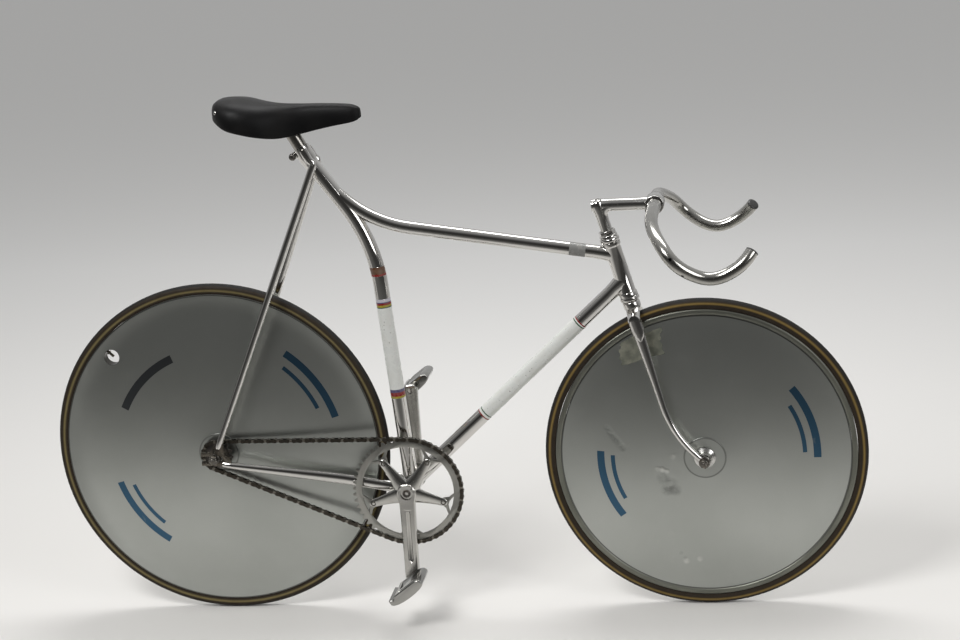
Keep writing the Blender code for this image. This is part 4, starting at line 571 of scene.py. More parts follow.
def chrome_finish(name, paint=None):
    """Bright plating with faint haze, and where given paint: start, direction, reach and bands by their distance."""
    finish = Finish(name, metallic=1.0)
    haze = finish.noise(9.0, 5.0)
    pits = finish.spread(finish.noise(420.0, 2.0), 0.7, 0.78)
    bright = finish.mix((0.72, 0.71, 0.69), (0.58, 0.565, 0.54), haze)
    bright = finish.mix(bright, (0.2, 0.17, 0.13), pits * 0.55)
    rough = 0.035 + haze * 0.075 + pits * 0.3
    if paint:
        start, direction, reach, bands = paint
        way = finish.along(start, direction) / reach
        painted = [(place / reach, colour or (0, 0, 0)) for place, colour in bands]
        covered = [(place / reach, (1, 1, 1) if colour else (0, 0, 0)) for place, colour in bands]
        stops = finish.node("ShaderNodeValToRGB", {"Fac": way}, {"stops": painted})
        masks = finish.node("ShaderNodeValToRGB", {"Fac": way}, {"stops": covered})
        mask = Field(finish, masks.outputs["Color"])
        grime = finish.spread(finish.noise(60.0, 6.0), 0.45, 0.75)
        worn = finish.mix(stops.outputs["Color"], (0.5, 0.47, 0.4), grime * 0.22)
        chips = finish.spread(finish.noise(260.0, 4.0), 0.69, 0.7)
        mask = mask * (1.0 - chips)
        bright = finish.mix(bright, worn, mask)
        rough = rough * (1.0 - mask) + (0.26 + grime * 0.15) * mask
        finish.set(Metallic=1.0 - mask)
        finish.bump(mask, 0.00012)
    else:
        finish.bump(finish.noise(900.0, 1.0), 0.00001)
    finish.set(Roughness=rough, Base_Color=bright)
    return finish.material


def alloy_finish(name, colour, roughness, brushed=0.00001, nicks=()):
    """Polished or anodised aluminium with fine scratches, dull patches and dark nicks where given."""
    finish = Finish(name, metallic=1.0)
    dull = finish.noise(14.0, 6.0)
    lines = finish.noise(300.0, 3.0, (1.0, 0.08, 1.0))
    marks = finish.spread(finish.noise(120.0, 5.0), 0.69, 0.77)
    darker = tuple(channel * 0.72 for channel in colour)
    shade = finish.mix(colour, darker, finish.spread(dull, 0.35, 0.75))
    shade = finish.mix(shade, (0.16, 0.14, 0.11), marks * 0.3)
    for place in nicks:
        shade = finish.mix(shade, (0.02, 0.02, 0.018), finish.spread(finish.distance(place), 0.0036, 0.0022))
    finish.set(Roughness=roughness + dull * 0.12 + lines * 0.06 + marks * 0.2, Base_Color=shade)
    finish.bump(lines, brushed)
    return finish.material


def steel_finish(name, colour, roughness=0.38, oily=0.5):
    """Dark steel with oil and dust on it."""
    finish = Finish(name, metallic=0.9)
    dust = finish.spread(finish.noise(70.0, 6.0), 0.45, 0.72)
    bright = finish.spread(finish.noise(240.0, 2.0), 0.55, 0.72)
    lighter = tuple(min(1.0, channel * 2.6 + 0.05) for channel in colour)
    shade = finish.mix(colour, lighter, bright * (1.0 - oily))
    shade = finish.mix(shade, (0.13, 0.1, 0.065), dust * 0.45)
    finish.set(Roughness=roughness + dust * 0.25, Metallic=0.92 - dust * 0.45, Base_Color=shade)
    finish.bump(finish.noise(700.0, 3.0), 0.00003)
    return finish.material


def chain_finish(name):
    """Chain steel: dark outer plates, brighter inner plates, and oil on both."""
    finish = Finish(name, metallic=0.95)
    oil = finish.spread(finish.noise(90.0, 5.0), 0.42, 0.7)
    outer = finish.math("ABSOLUTE", finish.y - CHAIN_Y) > 0.0032
    shade = finish.mix((0.24, 0.225, 0.195), (0.06, 0.054, 0.045), outer)
    finish.set(Roughness=0.2 + oil * 0.18, Base_Color=finish.mix(shade, (0.06, 0.048, 0.034), oil * 0.4))
    return finish.material


def disc_finish(name, centre, edge, marks, bars, hole):
    """Satin grey metal skin with scuffs, dents, two faint rings, painted shade on the wall of the hole where given and
    plain coloured bars.
    """
    finish = Finish(name)
    radius = finish.from_axis(centre)
    cloud = finish.noise(5.0, 6.0)
    scuffs = finish.spread(finish.noise(34.0, 8.0, (1.0, 1.0, 0.6), 0.62), 0.62, 0.72)
    base = finish.mix((0.47, 0.485, 0.46), (0.42, 0.435, 0.41), finish.spread(cloud, 0.3, 0.7))
    base = finish.mix(base, (0.56, 0.565, 0.54), scuffs * 0.12)
    dark, pale = 0.0, 0.0
    patchy = finish.spread(finish.noise(90.0, 4.0), 0.38, 0.62, 0.35, 1.0)
    for place, size, amount in marks:
        near = finish.spread(finish.from_axis(place), size, size * 0.35) * patchy * abs(amount)
        if amount > 0:
            dark = dark + near
        else:
            pale = pale + near
    right = finish.y < 0.0
    dark = finish.math("MINIMUM", dark, 1.0) * right
    pale = finish.math("MINIMUM", pale, 1.0) * right
    base = finish.mix(base, (0.1, 0.105, 0.095), dark)
    base = finish.mix(base, (0.8, 0.8, 0.76), pale)
    for place, width, amount in ((edge, 0.0016, 0.8), (0.0388, 0.0022, 0.5)):
        line = finish.spread(finish.math("ABSOLUTE", radius - place), width, width * 0.4)
        base = finish.mix(base, (0.07, 0.07, 0.065), line * amount)
    # Painted shade: the skin is painted near black within the hole's radius, on the wall of the hole, where shade
    # falls.
    if hole is not None:
        base = finish.mix(base, (0.045, 0.042, 0.034), finish.from_axis(hole) < 0.016)
    for degrees, half_turn, inner, outer, colour in bars:
        bar = bar_mask(finish, centre, radius, math.radians(degrees), half_turn, inner, outer)
        base = finish.mix(base, colour, bar * right * (0.92 - scuffs * 0.3))
    rough = 0.29 + cloud * 0.05 + scuffs * 0.05 + dark * 0.1
    finish.set(Metallic=0.95 - dark * 0.3, Roughness=rough, Base_Color=base)
    finish.bump(finish.noise(7.0, 2.0) - dark * 1.2 + pale, 0.0008)
    return finish.material


def bar_mask(finish, centre, radius, angle, half_turn, inner, outer):
    """A curved bar on a disc, between two radii and as far as half_turn to both sides of an angle."""
    out = spoke(angle)
    beside = Vector((-out.z, 0.0, out.x))
    ahead = finish.along(centre, out)
    sideways = finish.along(centre, beside)
    turn = finish.math("ARCTAN2", sideways, ahead)
    near = finish.math("ABSOLUTE", turn) < half_turn
    return near * (radius > inner) * (radius < outer)


def tyre_finish(name, centre, middle, stripe):
    """Black tread and a cotton side wall with an amber stripe, told apart by the place round the section. The stripe is
    a painted highlight in the wall's own amber tint, brightest at its middle.
    """
    finish = Finish(name)
    out = finish.from_axis(centre) - middle
    lift = finish.math("ARCTAN2", finish.math("ABSOLUTE", finish.y), out)
    dust = finish.spread(finish.noise(55.0, 6.0), 0.42, 0.72)
    weave = finish.noise(850.0, 2.0)
    low, high, bright = stripe
    tread = finish.mix((0.008, 0.0075, 0.007), (0.022, 0.019, 0.015), dust)
    wall = finish.mix((0.028, 0.018, 0.009), (0.017, 0.012, 0.007), finish.spread(weave, 0.35, 0.65))
    # Painted highlight: the side wall's amber tint is painted only on a narrow band round the section, with a brighter
    # core at its middle, where light catches the round wall.
    dull = tuple(channel * 0.5 for channel in bright)
    amber = finish.spread(lift, low - 0.06, low + 0.06) * finish.spread(lift, high + 0.06, high - 0.06)
    core = finish.spread(finish.math("ABSOLUTE", lift - (low + high) / 2), (high - low) * 0.3, (high - low) * 0.12)
    amber_and_painted_highlight = finish.mix(dull, bright, core)
    amber_and_painted_highlight = finish.mix(amber_and_painted_highlight, dull, dust * 0.35)
    colour = finish.mix(tread, wall, finish.spread(lift, 0.8, 0.88))
    colour = finish.mix(colour, amber_and_painted_highlight, amber)
    finish.set(Roughness=0.62 + dust * 0.2 - amber * 0.1, Base_Color=colour, Specular_IOR_Level=0.28)
    finish.bump(weave, 0.0001)
    return finish.material


def leather_finish(name):
    """Smooth black saddle cover, worn to a soft shine, with fine grain and a painted sheen that makes its top a touch
    lighter.
    """
    finish = Finish(name)
    cells = finish.node(
        "ShaderNodeTexVoronoi", {"Vector": finish.place, "Scale": 520.0}, {"feature": "DISTANCE_TO_EDGE"})
    grain = finish.spread(Field(finish, cells.outputs["Distance"]), 0.0, 0.12)
    wear = finish.spread(finish.noise(16.0, 5.0), 0.4, 0.72)
    # Painted sheen: the top of the cover is painted a touch lighter, besides the lighter worn patches.
    top = finish.spread(finish.z, -0.045, -0.008)
    colour = finish.mix((0.0035, 0.0035, 0.0038), (0.011, 0.01, 0.0095), wear * 0.6 + top * 0.15)
    finish.set(Roughness=0.36 + grain * 0.06 + wear * 0.16, Base_Color=colour, Specular_IOR_Level=0.17)
    finish.bump(grain, 0.00007)
    return finish.material


def plain_finish(name, colour, roughness, metallic=0.0):
    """A simple moulded or painted surface with slight variation."""
    finish = Finish(name, metallic=metallic)
    tone = finish.noise(300.0, 4.0)
    darker = tuple(channel * 0.6 for channel in colour)
    shade = finish.mix(colour, darker, finish.spread(tone, 0.3, 0.7))
    finish.set(Roughness=roughness + tone * 0.1, Base_Color=shade)
    finish.bump(tone, 0.00003)
    return finish.material


# Settings that a user would change

class TubeSettings(PropertyGroup):
    """Frame tubes."""
    top_radius: FloatProperty(name="Top tube radius", description="Outer radius of the top tube",
                              default=0.0127, unit="LENGTH")
    main_radius: FloatProperty(name="Main tube radius", description="Outer radius of the seat and down tubes",
                               default=0.0143, unit="LENGTH")
    panel: FloatVectorProperty(name="Panel colour", description="Paint of the bare panels on the frame",
                               default=(0.7, 0.71, 0.68), subtype="COLOR")


class WheelSettings(PropertyGroup):
    """Wheels."""
    rear_radius: FloatProperty(name="Rear radius", description="Outer radius of the rear tyre",
                               default=0.334, unit="LENGTH")
    front_radius: FloatProperty(name="Front radius", description="Outer radius of the front tyre",
                                default=0.304, unit="LENGTH")
    steps: IntProperty(name="Steps", description="Facets round each wheel", default=160, min=32)
    bar: FloatVectorProperty(name="Bar colour", description="Colour of the plain bars on the discs",
                             default=(0.016, 0.085, 0.165), subtype="COLOR")


class StageSettings(PropertyGroup):
    """Studio."""
    floor: FloatVectorProperty(name="Floor colour", description="Colour of the plain floor",
                               default=(0.74, 0.725, 0.7), subtype="COLOR")
    key: FloatProperty(name="Key light", description="Power of the main soft light", default=80.0, unit="POWER")


# Frame tubes

def swollen(path, radius, reach=0.02, swell=0.0022):
    """Radii that swell where a tube is brazed to another at its start."""
    length = sum((b - a).length for a, b in zip(path, path[1:]))
    nearness = [max(0.0, 1.0 - max(0.0, share * length - radius) / reach) for share in shares_along(path)]
    return [radius + swell * near ** 2 for near in nearness]


RED = (0.22, 0.018, 0.016)
GREEN = (0.02, 0.075, 0.03)
VIOLET = (0.085, 0.075, 0.16)
YELLOW = (0.32, 0.27, 0.035)


class BICYCLE_OT_tubes(Operator):
    """Models the head, top, seat and down tubes with their painted panels"""
    bl_idname = "bicycle.tubes"
    bl_label = "Frame tubes"

    def execute(self, context):
        settings = context.scene.bicycle_tubes
        panel = tuple(settings.panel)
        chrome = chrome_finish("chrome_frame")
        radius, collar = 0.0159, 0.0175
        profile = [
            (0.0148, HEAD_START), (collar, HEAD_START), (collar, HEAD_START + 0.007),
            (radius, HEAD_START + 0.0092), (radius, HEAD_END - 0.0092), (collar, HEAD_END - 0.007),
            (collar, HEAD_END), (0.0148, HEAD_END)]
        head = turned("head_tube_plated", loop(eased(profile, 0.0007)), CROWN_SEAT, HEAD_UP, 56)
        dress(head, chrome, "frame", ["head_tube"])
        self.top_tube(settings.top_radius)
        self.seat_tube(settings.main_radius, panel)
        self.down_tube(settings.main_radius, panel)
        return {"FINISHED"}

    def head_room(self):
        """Cutter as wide as the head tube's bore, for the ends of the tubes that meet it."""
        return turned("head_room", rod(0.0152, HEAD_START - 0.02, HEAD_END + 0.02), CROWN_SEAT, HEAD_UP, 48)

    def top_tube(self, radius):
        head = on_steering(0.0, 0.0, HEAD_END - 0.0249)
        corners = [head, Vector((0.2285, 0.0, -0.2497)), Vector((0.1545, 0.0, -0.1833))]
        path = split_runs(rounded(corners, [0.2366]), 0.012)
        piece = tube("top_tube_plated", path, swollen(path, radius), 32)
        cut(piece, self.head_room())
        ahead = (corners[1] - head).normalized()
        bands = [(0.0, None), (0.0522, (0.22, 0.22, 0.21)), (0.0828, None)]
        dress(piece, chrome_finish("chrome_top_tube", (head, ahead, 0.6, bands)), "frame", ["top_tube"])

    def seat_tube(self, radius, panel):
        corners = [CRANK_AXIS, SEAT_CORNER, SEAT_ELBOW, SEAT_TOP]
        path = split_runs(rounded(corners, [0.316, 0.055], 3.0), 0.015)
        path[0] = CRANK_AXIS + (path[1] - path[0]).normalized() * 0.0135
        piece = tube("seat_tube_plated", path, radius, 32)
        bands = (
            (0.0, None), (0.1775, YELLOW), (0.181, RED), (0.188, VIOLET), (0.194, panel), (0.3555, GREEN),
            (0.3592, YELLOW), (0.3628, RED), (0.3668, VIOLET), (0.369, (0.52, 0.5, 0.55)), (0.3735, None),
            (0.4185, RED), (0.4222, (0.105, 0.045, 0.022)), (0.436, None))
        finish = chrome_finish("chrome_seat_tube", (CRANK_AXIS, leaning(1.0, SEAT_TUBE_LEAN), 0.5, bands))
        dress(piece, finish, "frame")
        self.seat_lug()

    def seat_lug(self):
        """Sleeve at the seat tube's top with the two ears of the binder bolt."""
        lug = begin("seat_lug")
        path = split_runs([SEAT_TOP - SEAT_UP * 0.034, SEAT_TOP - SEAT_UP * 0.0008, SEAT_TOP], 0.004)
        radii = []
        for place in path:
            down = (SEAT_TOP - place).length
            radius = 0.0166 - 0.0019 * max(0.0, (down - 0.022) / 0.012)
            radii.append(radius - (0.0006 if down < 0.0003 else 0.0))
        add_tube(lug, path, radii, 40)
        centre = binder_centre()
        for side in (-1, 1):
            add_turned(lug, eased(rod(0.007, side * 0.0011, side * 0.0098), 0.0006), centre, LEFT, 32)
            web = [centre.lerp(SEAT_TOP - SEAT_UP * 0.0072, share) + LEFT * side * 0.0054 for share in (0.0, 0.7)]
            add_tube(lug, web, [(0.0044, 0.0066)] * 2, 16)
        tidy()
        dress(lug, chrome_finish("chrome_lug"), "frame", ["seat_tube"])

    def down_tube(self, radius, panel):
        head = on_steering(0.0, 0.0, HEAD_START + 0.031)
        ahead = (CRANK_AXIS - head).normalized()
        path = split_runs([head, CRANK_AXIS - ahead * 0.0138], 0.012)
        piece = tube("down_tube_plated", path, swollen(path, radius), 32)
        cut(piece, self.head_room())
        length = 0.584
        bands = [(0.0, None)] + [(length - above, colour) for above, colour in (
            (0.4715, RED), (0.4692, panel), (0.4675, GREEN), (0.465, panel),
            (0.216, GREEN), (0.2125, panel), (0.208, RED), (0.2045, None))]
        finish = chrome_finish("chrome_down_tube", (head, ahead, 0.6, bands))
        dress(piece, finish, "frame", ["down_tube"])


def binder_centre():
    """Centre of the seat binder bolt, behind the seat lug."""
    tilt = math.radians(SEAT_POST_LEAN)
    return SEAT_TOP - SEAT_UP * 0.0072 + Vector((-math.cos(tilt), 0.0, -math.sin(tilt))) * 0.0215


# Stays and rear ends

DROPOUT_HALF = 0.06275


def chain_stay_sizes(path):
    """Oval sizes that turn round and thin towards the rear axle."""
    sizes = []
    for share in shares_along(path):
        taper = read_table(((0.0, 0.0), (0.4, 0.0), (1.0, 1.0)), share)
        sizes.append((0.007 - 0.0008 * taper, 0.011 - 0.0048 * taper))
    return sizes


class BICYCLE_OT_stays(Operator):
    """Models the chain stays, the seat stays with their caps, the track ends and the bottom bracket"""
    bl_idname = "bicycle.stays"
    bl_label = "Stays and bottom bracket"

    def execute(self, context):
        chrome = chrome_finish("chrome_stays")
        for side, sign in SIDES:
            start = CRANK_AXIS + Vector((0.0, sign * 0.0235, -0.004))
            axle = REAR_AXLE + Vector((0.0, sign * DROPOUT_HALF, -0.008))
            bend = start.lerp(axle, 0.337)
            bend.y = sign * 0.0285
            back = Vector((axle.x - bend.x, 0.0, axle.z - bend.z)).normalized()
            front = (bend - start).normalized()
            path = rounded([start + front * 0.014, bend, axle - back * 0.0343], [0.3])
            path = split_runs(path + [axle - back * 0.019], 0.014)
            path += [path[-1] + back * 0.003, path[-1] + back * 0.005]
            sizes = chain_stay_sizes(path[:-2])
            across, up = sizes[-1]
            sizes += [(across * 0.9, up * 0.9), (across * 0.55, up * 0.55)]
            piece = tube("chain_stay_plated_" + side, path, sizes, 28)
            dress(piece, chrome, "frame", ["chain_stay_" + side])
            self.seat_stay(side, sign, chrome)
            end_piece = refined("track_end_plated_" + side, "track_end_" + side, 0.0007)
            worn = steel_finish("track_end_worn_" + side, (0.12, 0.108, 0.09), 0.26, 0.3)
            dress(end_piece, worn, "frame", ["track_end_" + side])
        self.bottom_bracket(chrome)
        return {"FINISHED"}

    def seat_stay(self, side, sign, chrome):
        forward = Vector((SEAT_UP.z, 0.0, -SEAT_UP.x))
        top = SEAT_TOP - SEAT_UP * 0.0405 + forward * 0.0058 + LEFT * sign * 0.02
        axle = REAR_AXLE + LEFT * (sign * DROPOUT_HALF)
        level = Vector((top.x - axle.x, 0.0, top.z - axle.z)).normalized()
        elbow = axle + level * 0.0363
        up = (top - elbow).normalized()
        path = [axle + level * 0.0205, axle + level * 0.0225, axle + level * 0.026]
        path += [elbow.lerp(top, share) for share in (0.02, 0.16, 0.32, 0.57, 0.78, 0.93)]
        path += [top + up * 0.001, top + (up + SEAT_UP).normalized() * 0.006]
        path += [top + SEAT_UP * reach for reach in (0.013, 0.021, 0.029, 0.0345, 0.0358)]
        sizes = [0.0036, 0.0052, 0.006, 0.0062, 0.0066, 0.007, 0.007, 0.007, 0.007, 0.0071, 0.0072]
        sizes += [(0.007, 0.0078), (0.0064, 0.008), (0.0056, 0.0079), (0.0046, 0.007), (0.0026, 0.0046)]
        piece = tube("seat_stay_plated_" + side, path, sizes, 28)
        flute = [top + SEAT_UP * reach + LEFT * sign * 0.0118 for reach in (0.0, 0.0325)]
        cut(piece, tube("stay_flute", flute, 0.0058, 24))
        dress(piece, chrome, "frame", ["seat_stay_" + side])

    def bottom_bracket(self, chrome):
        profile = eased_half([(0.0173, 0.0), (0.0173, 0.034), (0.02, 0.034), (0.02, 0.0)], 0.0006)
        shell = turned("bottom_bracket_plated", profile, CRANK_AXIS, LEFT, 56)
        dress(shell, chrome, "frame", ["bottom_bracket_shell"])
        for side, sign in SIDES:
            face, lip, end = 0.0341, 0.0371, 0.0373
            profile = [(0.0092, 0.02), (0.0092, end), (0.012, end), (0.0128, lip - 0.0008), (0.016, lip - 0.0008),
                       (0.0165, end), (0.0215, lip), (0.0215, face), (0.017, face), (0.017, 0.02)]
            profile = loop(to_side(eased(profile, 0.0003), sign))
            cup = turned("bottom_bracket_ring_" + side, profile, CRANK_AXIS, LEFT, 48)
            notches = begin("ring_notches")
            for k in range(6):
                place = CRANK_AXIS + spoke(TURN * k / 6) * 0.0222
                add_tube(notches, [place + LEFT * sign * height for height in (0.0345, 0.04)], 0.0018, 10, FORWARD)
            tidy()
            cut(cup, notches)
            steel = steel_finish("dull_steel_" + side, (0.34, 0.33, 0.31), 0.3, 0.2)
            dress(cup, steel, "frame", ["bottom_bracket_cup_" + side])


# Fork, headset, stem and bar

FORK_LENGTH = 0.316
FORK_RAKE = 0.041
BLADE_BEND = math.radians(32.4)
BLADE_TOP_HALF = 0.0335
BLADE_END_HALF = 0.0525
BLADE_SLOPE = (BLADE_END_HALF - BLADE_TOP_HALF) / FORK_LENGTH


def crown_station(station):
    """Centre height, half height and half depth of the fork crown at a share of its half width."""
    reach = abs(station)
    shoulder = read_table(((0.0, 0.0), (0.3, 0.0), (0.62, 0.72), (0.9, 1.0), (1.0, 1.0)), reach)
    top = -shoulder * 0.01045
    bottom = -0.0095 - shoulder * 0.0265
    depth = 0.0125 * read_table(((0.0, 1.0), (0.9, 1.0), (1.0, 0.72)), reach)
    return (top + bottom) / 2, (top - bottom) / 2, depth


class BICYCLE_OT_fork(Operator):
    """Models the fork crown, the tapered blades with their ends, and the headset"""
    bl_idname = "bicycle.fork"
    bl_label = "Fork and headset"

    def execute(self, context):
        chrome = chrome_finish("chrome_fork")
        crown = begin("fork_crown_plated")
        stations = [-1.0, -0.985, -0.95, -0.88, -0.78, -0.68, -0.58, -0.48, -0.38, -0.28, -0.14]
        stations += [0.0] + [-value for value in reversed(stations)]
        path, sizes = [], []
        for station in stations:
            middle, half, depth = crown_station(station)
            close = 1.0 - 0.55 * max(0.0, (abs(station) - 0.94) / 0.06) ** 2
            path.append(on_steering(0.0, station * 0.0435, middle))
            sizes.append((half * close * 1.04, depth * close))
        self.upright_rings(crown, path, sizes)
        sizes = [(0.0098, 0.0132), (0.0097, 0.0129), (0.0093, 0.011), (0.0091, 0.0072), (0.0088, 0.003)]
        for sign in (-1, 1):
            socket = [on_steering(0.0, sign * (BLADE_TOP_HALF + BLADE_SLOPE * down), -down)
                      for down in (0.02, 0.04, 0.052, 0.058, 0.061)]
            add_tube(crown, socket, sizes, 28)
        tidy()
        cut(crown, turned("tyre_arch", rod(0.309, -0.0158, 0.0158), FRONT_AXLE, LEFT, 160))
        race = turned("crown_race", loop(eased([
            (0.0114, -0.004), (0.0165, -0.004), (0.0165, 0.0072), (0.0152, 0.0094), (0.0127, 0.0094), (0.0127, 0.147),
            (0.0114, 0.147)], 0.0005)), CROWN_SEAT, HEAD_UP, 48)
        dress(race, chrome, "steering")
        dress(crown, chrome, "steering", ["fork_crown"])
        for side, sign in SIDES:
            self.blade(side, sign, chrome)
        self.headset(chrome)
        return {"FINISHED"}

    def upright_rings(self, piece, path, sizes):
        """Rings that all face across the bicycle, bridged into one closed form."""
        for i, place in enumerate(path):
            bpy.ops.mesh.select_all(action="DESELECT")
            add_ring(place, LEFT, HEAD_UP, sizes[i][0], sizes[i][1], 28)
            fasten_ring(piece, i, len(path), 28)

    def blade(self, side, sign, chrome):
        """One flattened blade that bends forward to its slotted end."""
        corner_up = -FORK_LENGTH + FORK_RAKE / math.tan(BLADE_BEND)
        start = on_steering(0.0, sign * (BLADE_TOP_HALF + BLADE_SLOPE * 0.03), -0.03)
        corner = on_steering(0.0, sign * (BLADE_TOP_HALF - BLADE_SLOPE * corner_up), corner_up)
        end = on_steering(FORK_RAKE, sign * BLADE_END_HALF, -FORK_LENGTH)
        back = (corner - end).normalized()
        stop = end + back * 0.0125
        limit = 0.98 * min((stop - corner).length, (corner - start).length) / math.tan(BLADE_BEND / 2)
        path = split_runs(rounded([start, corner, stop], [min(0.216, limit)], 2.0), 0.012)
        table = ((0.0, 0.0), (0.12, 0.3), (0.25, 0.52), (0.4, 0.76), (0.7, 0.95), (1.0, 1.0))
        sizes = []
        for share in shares_along(path):
            taper = read_table(table, share)
            sizes.append((0.0088 - 0.0028 * taper, 0.0122 - 0.0062 * taper))
        path += [stop - back * 0.003, stop - back * 0.0045]
        sizes += [(0.0052, 0.0056), (0.0032, 0.0044)]
        piece = tube("fork_blade_plated_" + side, path, sizes)
        tip = plate("fork_end_plated_" + side, self.end_outline(end, back), 0.005, sign * BLADE_END_HALF)
        cut(tip, plate("fork_end_slot", self.slot_outline(end), 0.012, sign * BLADE_END_HALF))
        bevel(tip, 0.0007)
        dress(tip, chrome, "steering")
        dress(piece, chrome, "steering", ["fork_blade_" + side])

    def end_outline(self, end, back):
        """Round end plate with a tongue that runs up into the blade."""
        level = Vector((back.x, 0.0, back.z)).normalized()
        beside = Vector((level.z, 0.0, -level.x))
        tongue = ((0.008, -0.0095), (0.025, -0.004), (0.025, 0.004), (0.008, 0.0095))
        return half_circle(end, beside, -level, 0.0114, 24) + [end + level * up + beside * on for up, on in tongue]

    def slot_outline(self, end):
        """Slot for the axle, open downwards along the steering axis."""
        mouth = [end + HEAD_FORWARD * half - HEAD_UP * 0.02 for half in (-0.0053, 0.0053)]
        return half_circle(end, HEAD_FORWARD, HEAD_UP, 0.0053, 12) + mouth

    def headset(self, chrome):
        """The two cups, mirror images of each other, and the race, washer and locknut above them."""
        gap, cup_height = 0.0003, 0.0085
        shape = ((0.0132, -0.006), (0.0145, -0.006), (0.0145, 0.0), (0.0176, 0.0), (0.0176, 0.0016),
                 (0.0184, 0.003), (0.0183, 0.007), (0.0168, cup_height), (0.0132, cup_height))
        for name, seat, sign in (("lower", HEAD_START - gap, -1), ("upper", HEAD_END + gap, 1)):
            profile = [(radius, seat + sign * rise) for radius, rise in shape[::sign]]
            cup = turned("headset_cup_" + name, loop(eased(profile, 0.0003)), CROWN_SEAT, HEAD_UP, 56)
            dress(cup, chrome, "frame", ["headset_" + name + "_cup"])
        nut = begin("headset_nuts")
        base = HEAD_END + gap + cup_height + 0.001
        top = HEAD_END + 0.023
        race = [(0.0131, base), (0.0169, base), (0.0169, base + 0.0036), (0.015, base + 0.0046),
                (0.0131, base + 0.0046)]
        add_turned(nut, loop(eased(race, 0.0003)), CROWN_SEAT, HEAD_UP, 56)
        lock = [(0.0131, base + 0.0052), (0.0157, base + 0.0052), (0.0157, top - 0.0012), (0.0146, top), (0.0131, top)]
        add_turned(nut, loop(eased(lock, 0.0003)), CROWN_SEAT, HEAD_UP, 8)
        add_turned(nut, loop(rod(0.0153, base + 0.0044, base + 0.0054, 0.0131)), CROWN_SEAT, HEAD_UP, 40)
        tidy()
        dress(nut, chrome, "steering", ["headset_locknut"])


BAR_CURVE = (
    (0.0, 0.0439, 0.0), (0.0, 0.0639, 0.0), (-0.0028, 0.1446, -0.009), (0.0208, 0.2128, -0.0341),
    (0.0415, 0.2275, -0.0637), (0.076, 0.2141, -0.0884), (0.1128, 0.2088, -0.0994), (0.1589, 0.2117, -0.0731),
    (0.1752, 0.1983, -0.052))
STEM_UP = 0.1998
STEM_REACH = 0.1045
STEM_DROP = math.radians(15.5)
BAR_CENTRE = on_steering(math.cos(STEM_DROP) * STEM_REACH, 0.0, STEM_UP - math.sin(STEM_DROP) * STEM_REACH)


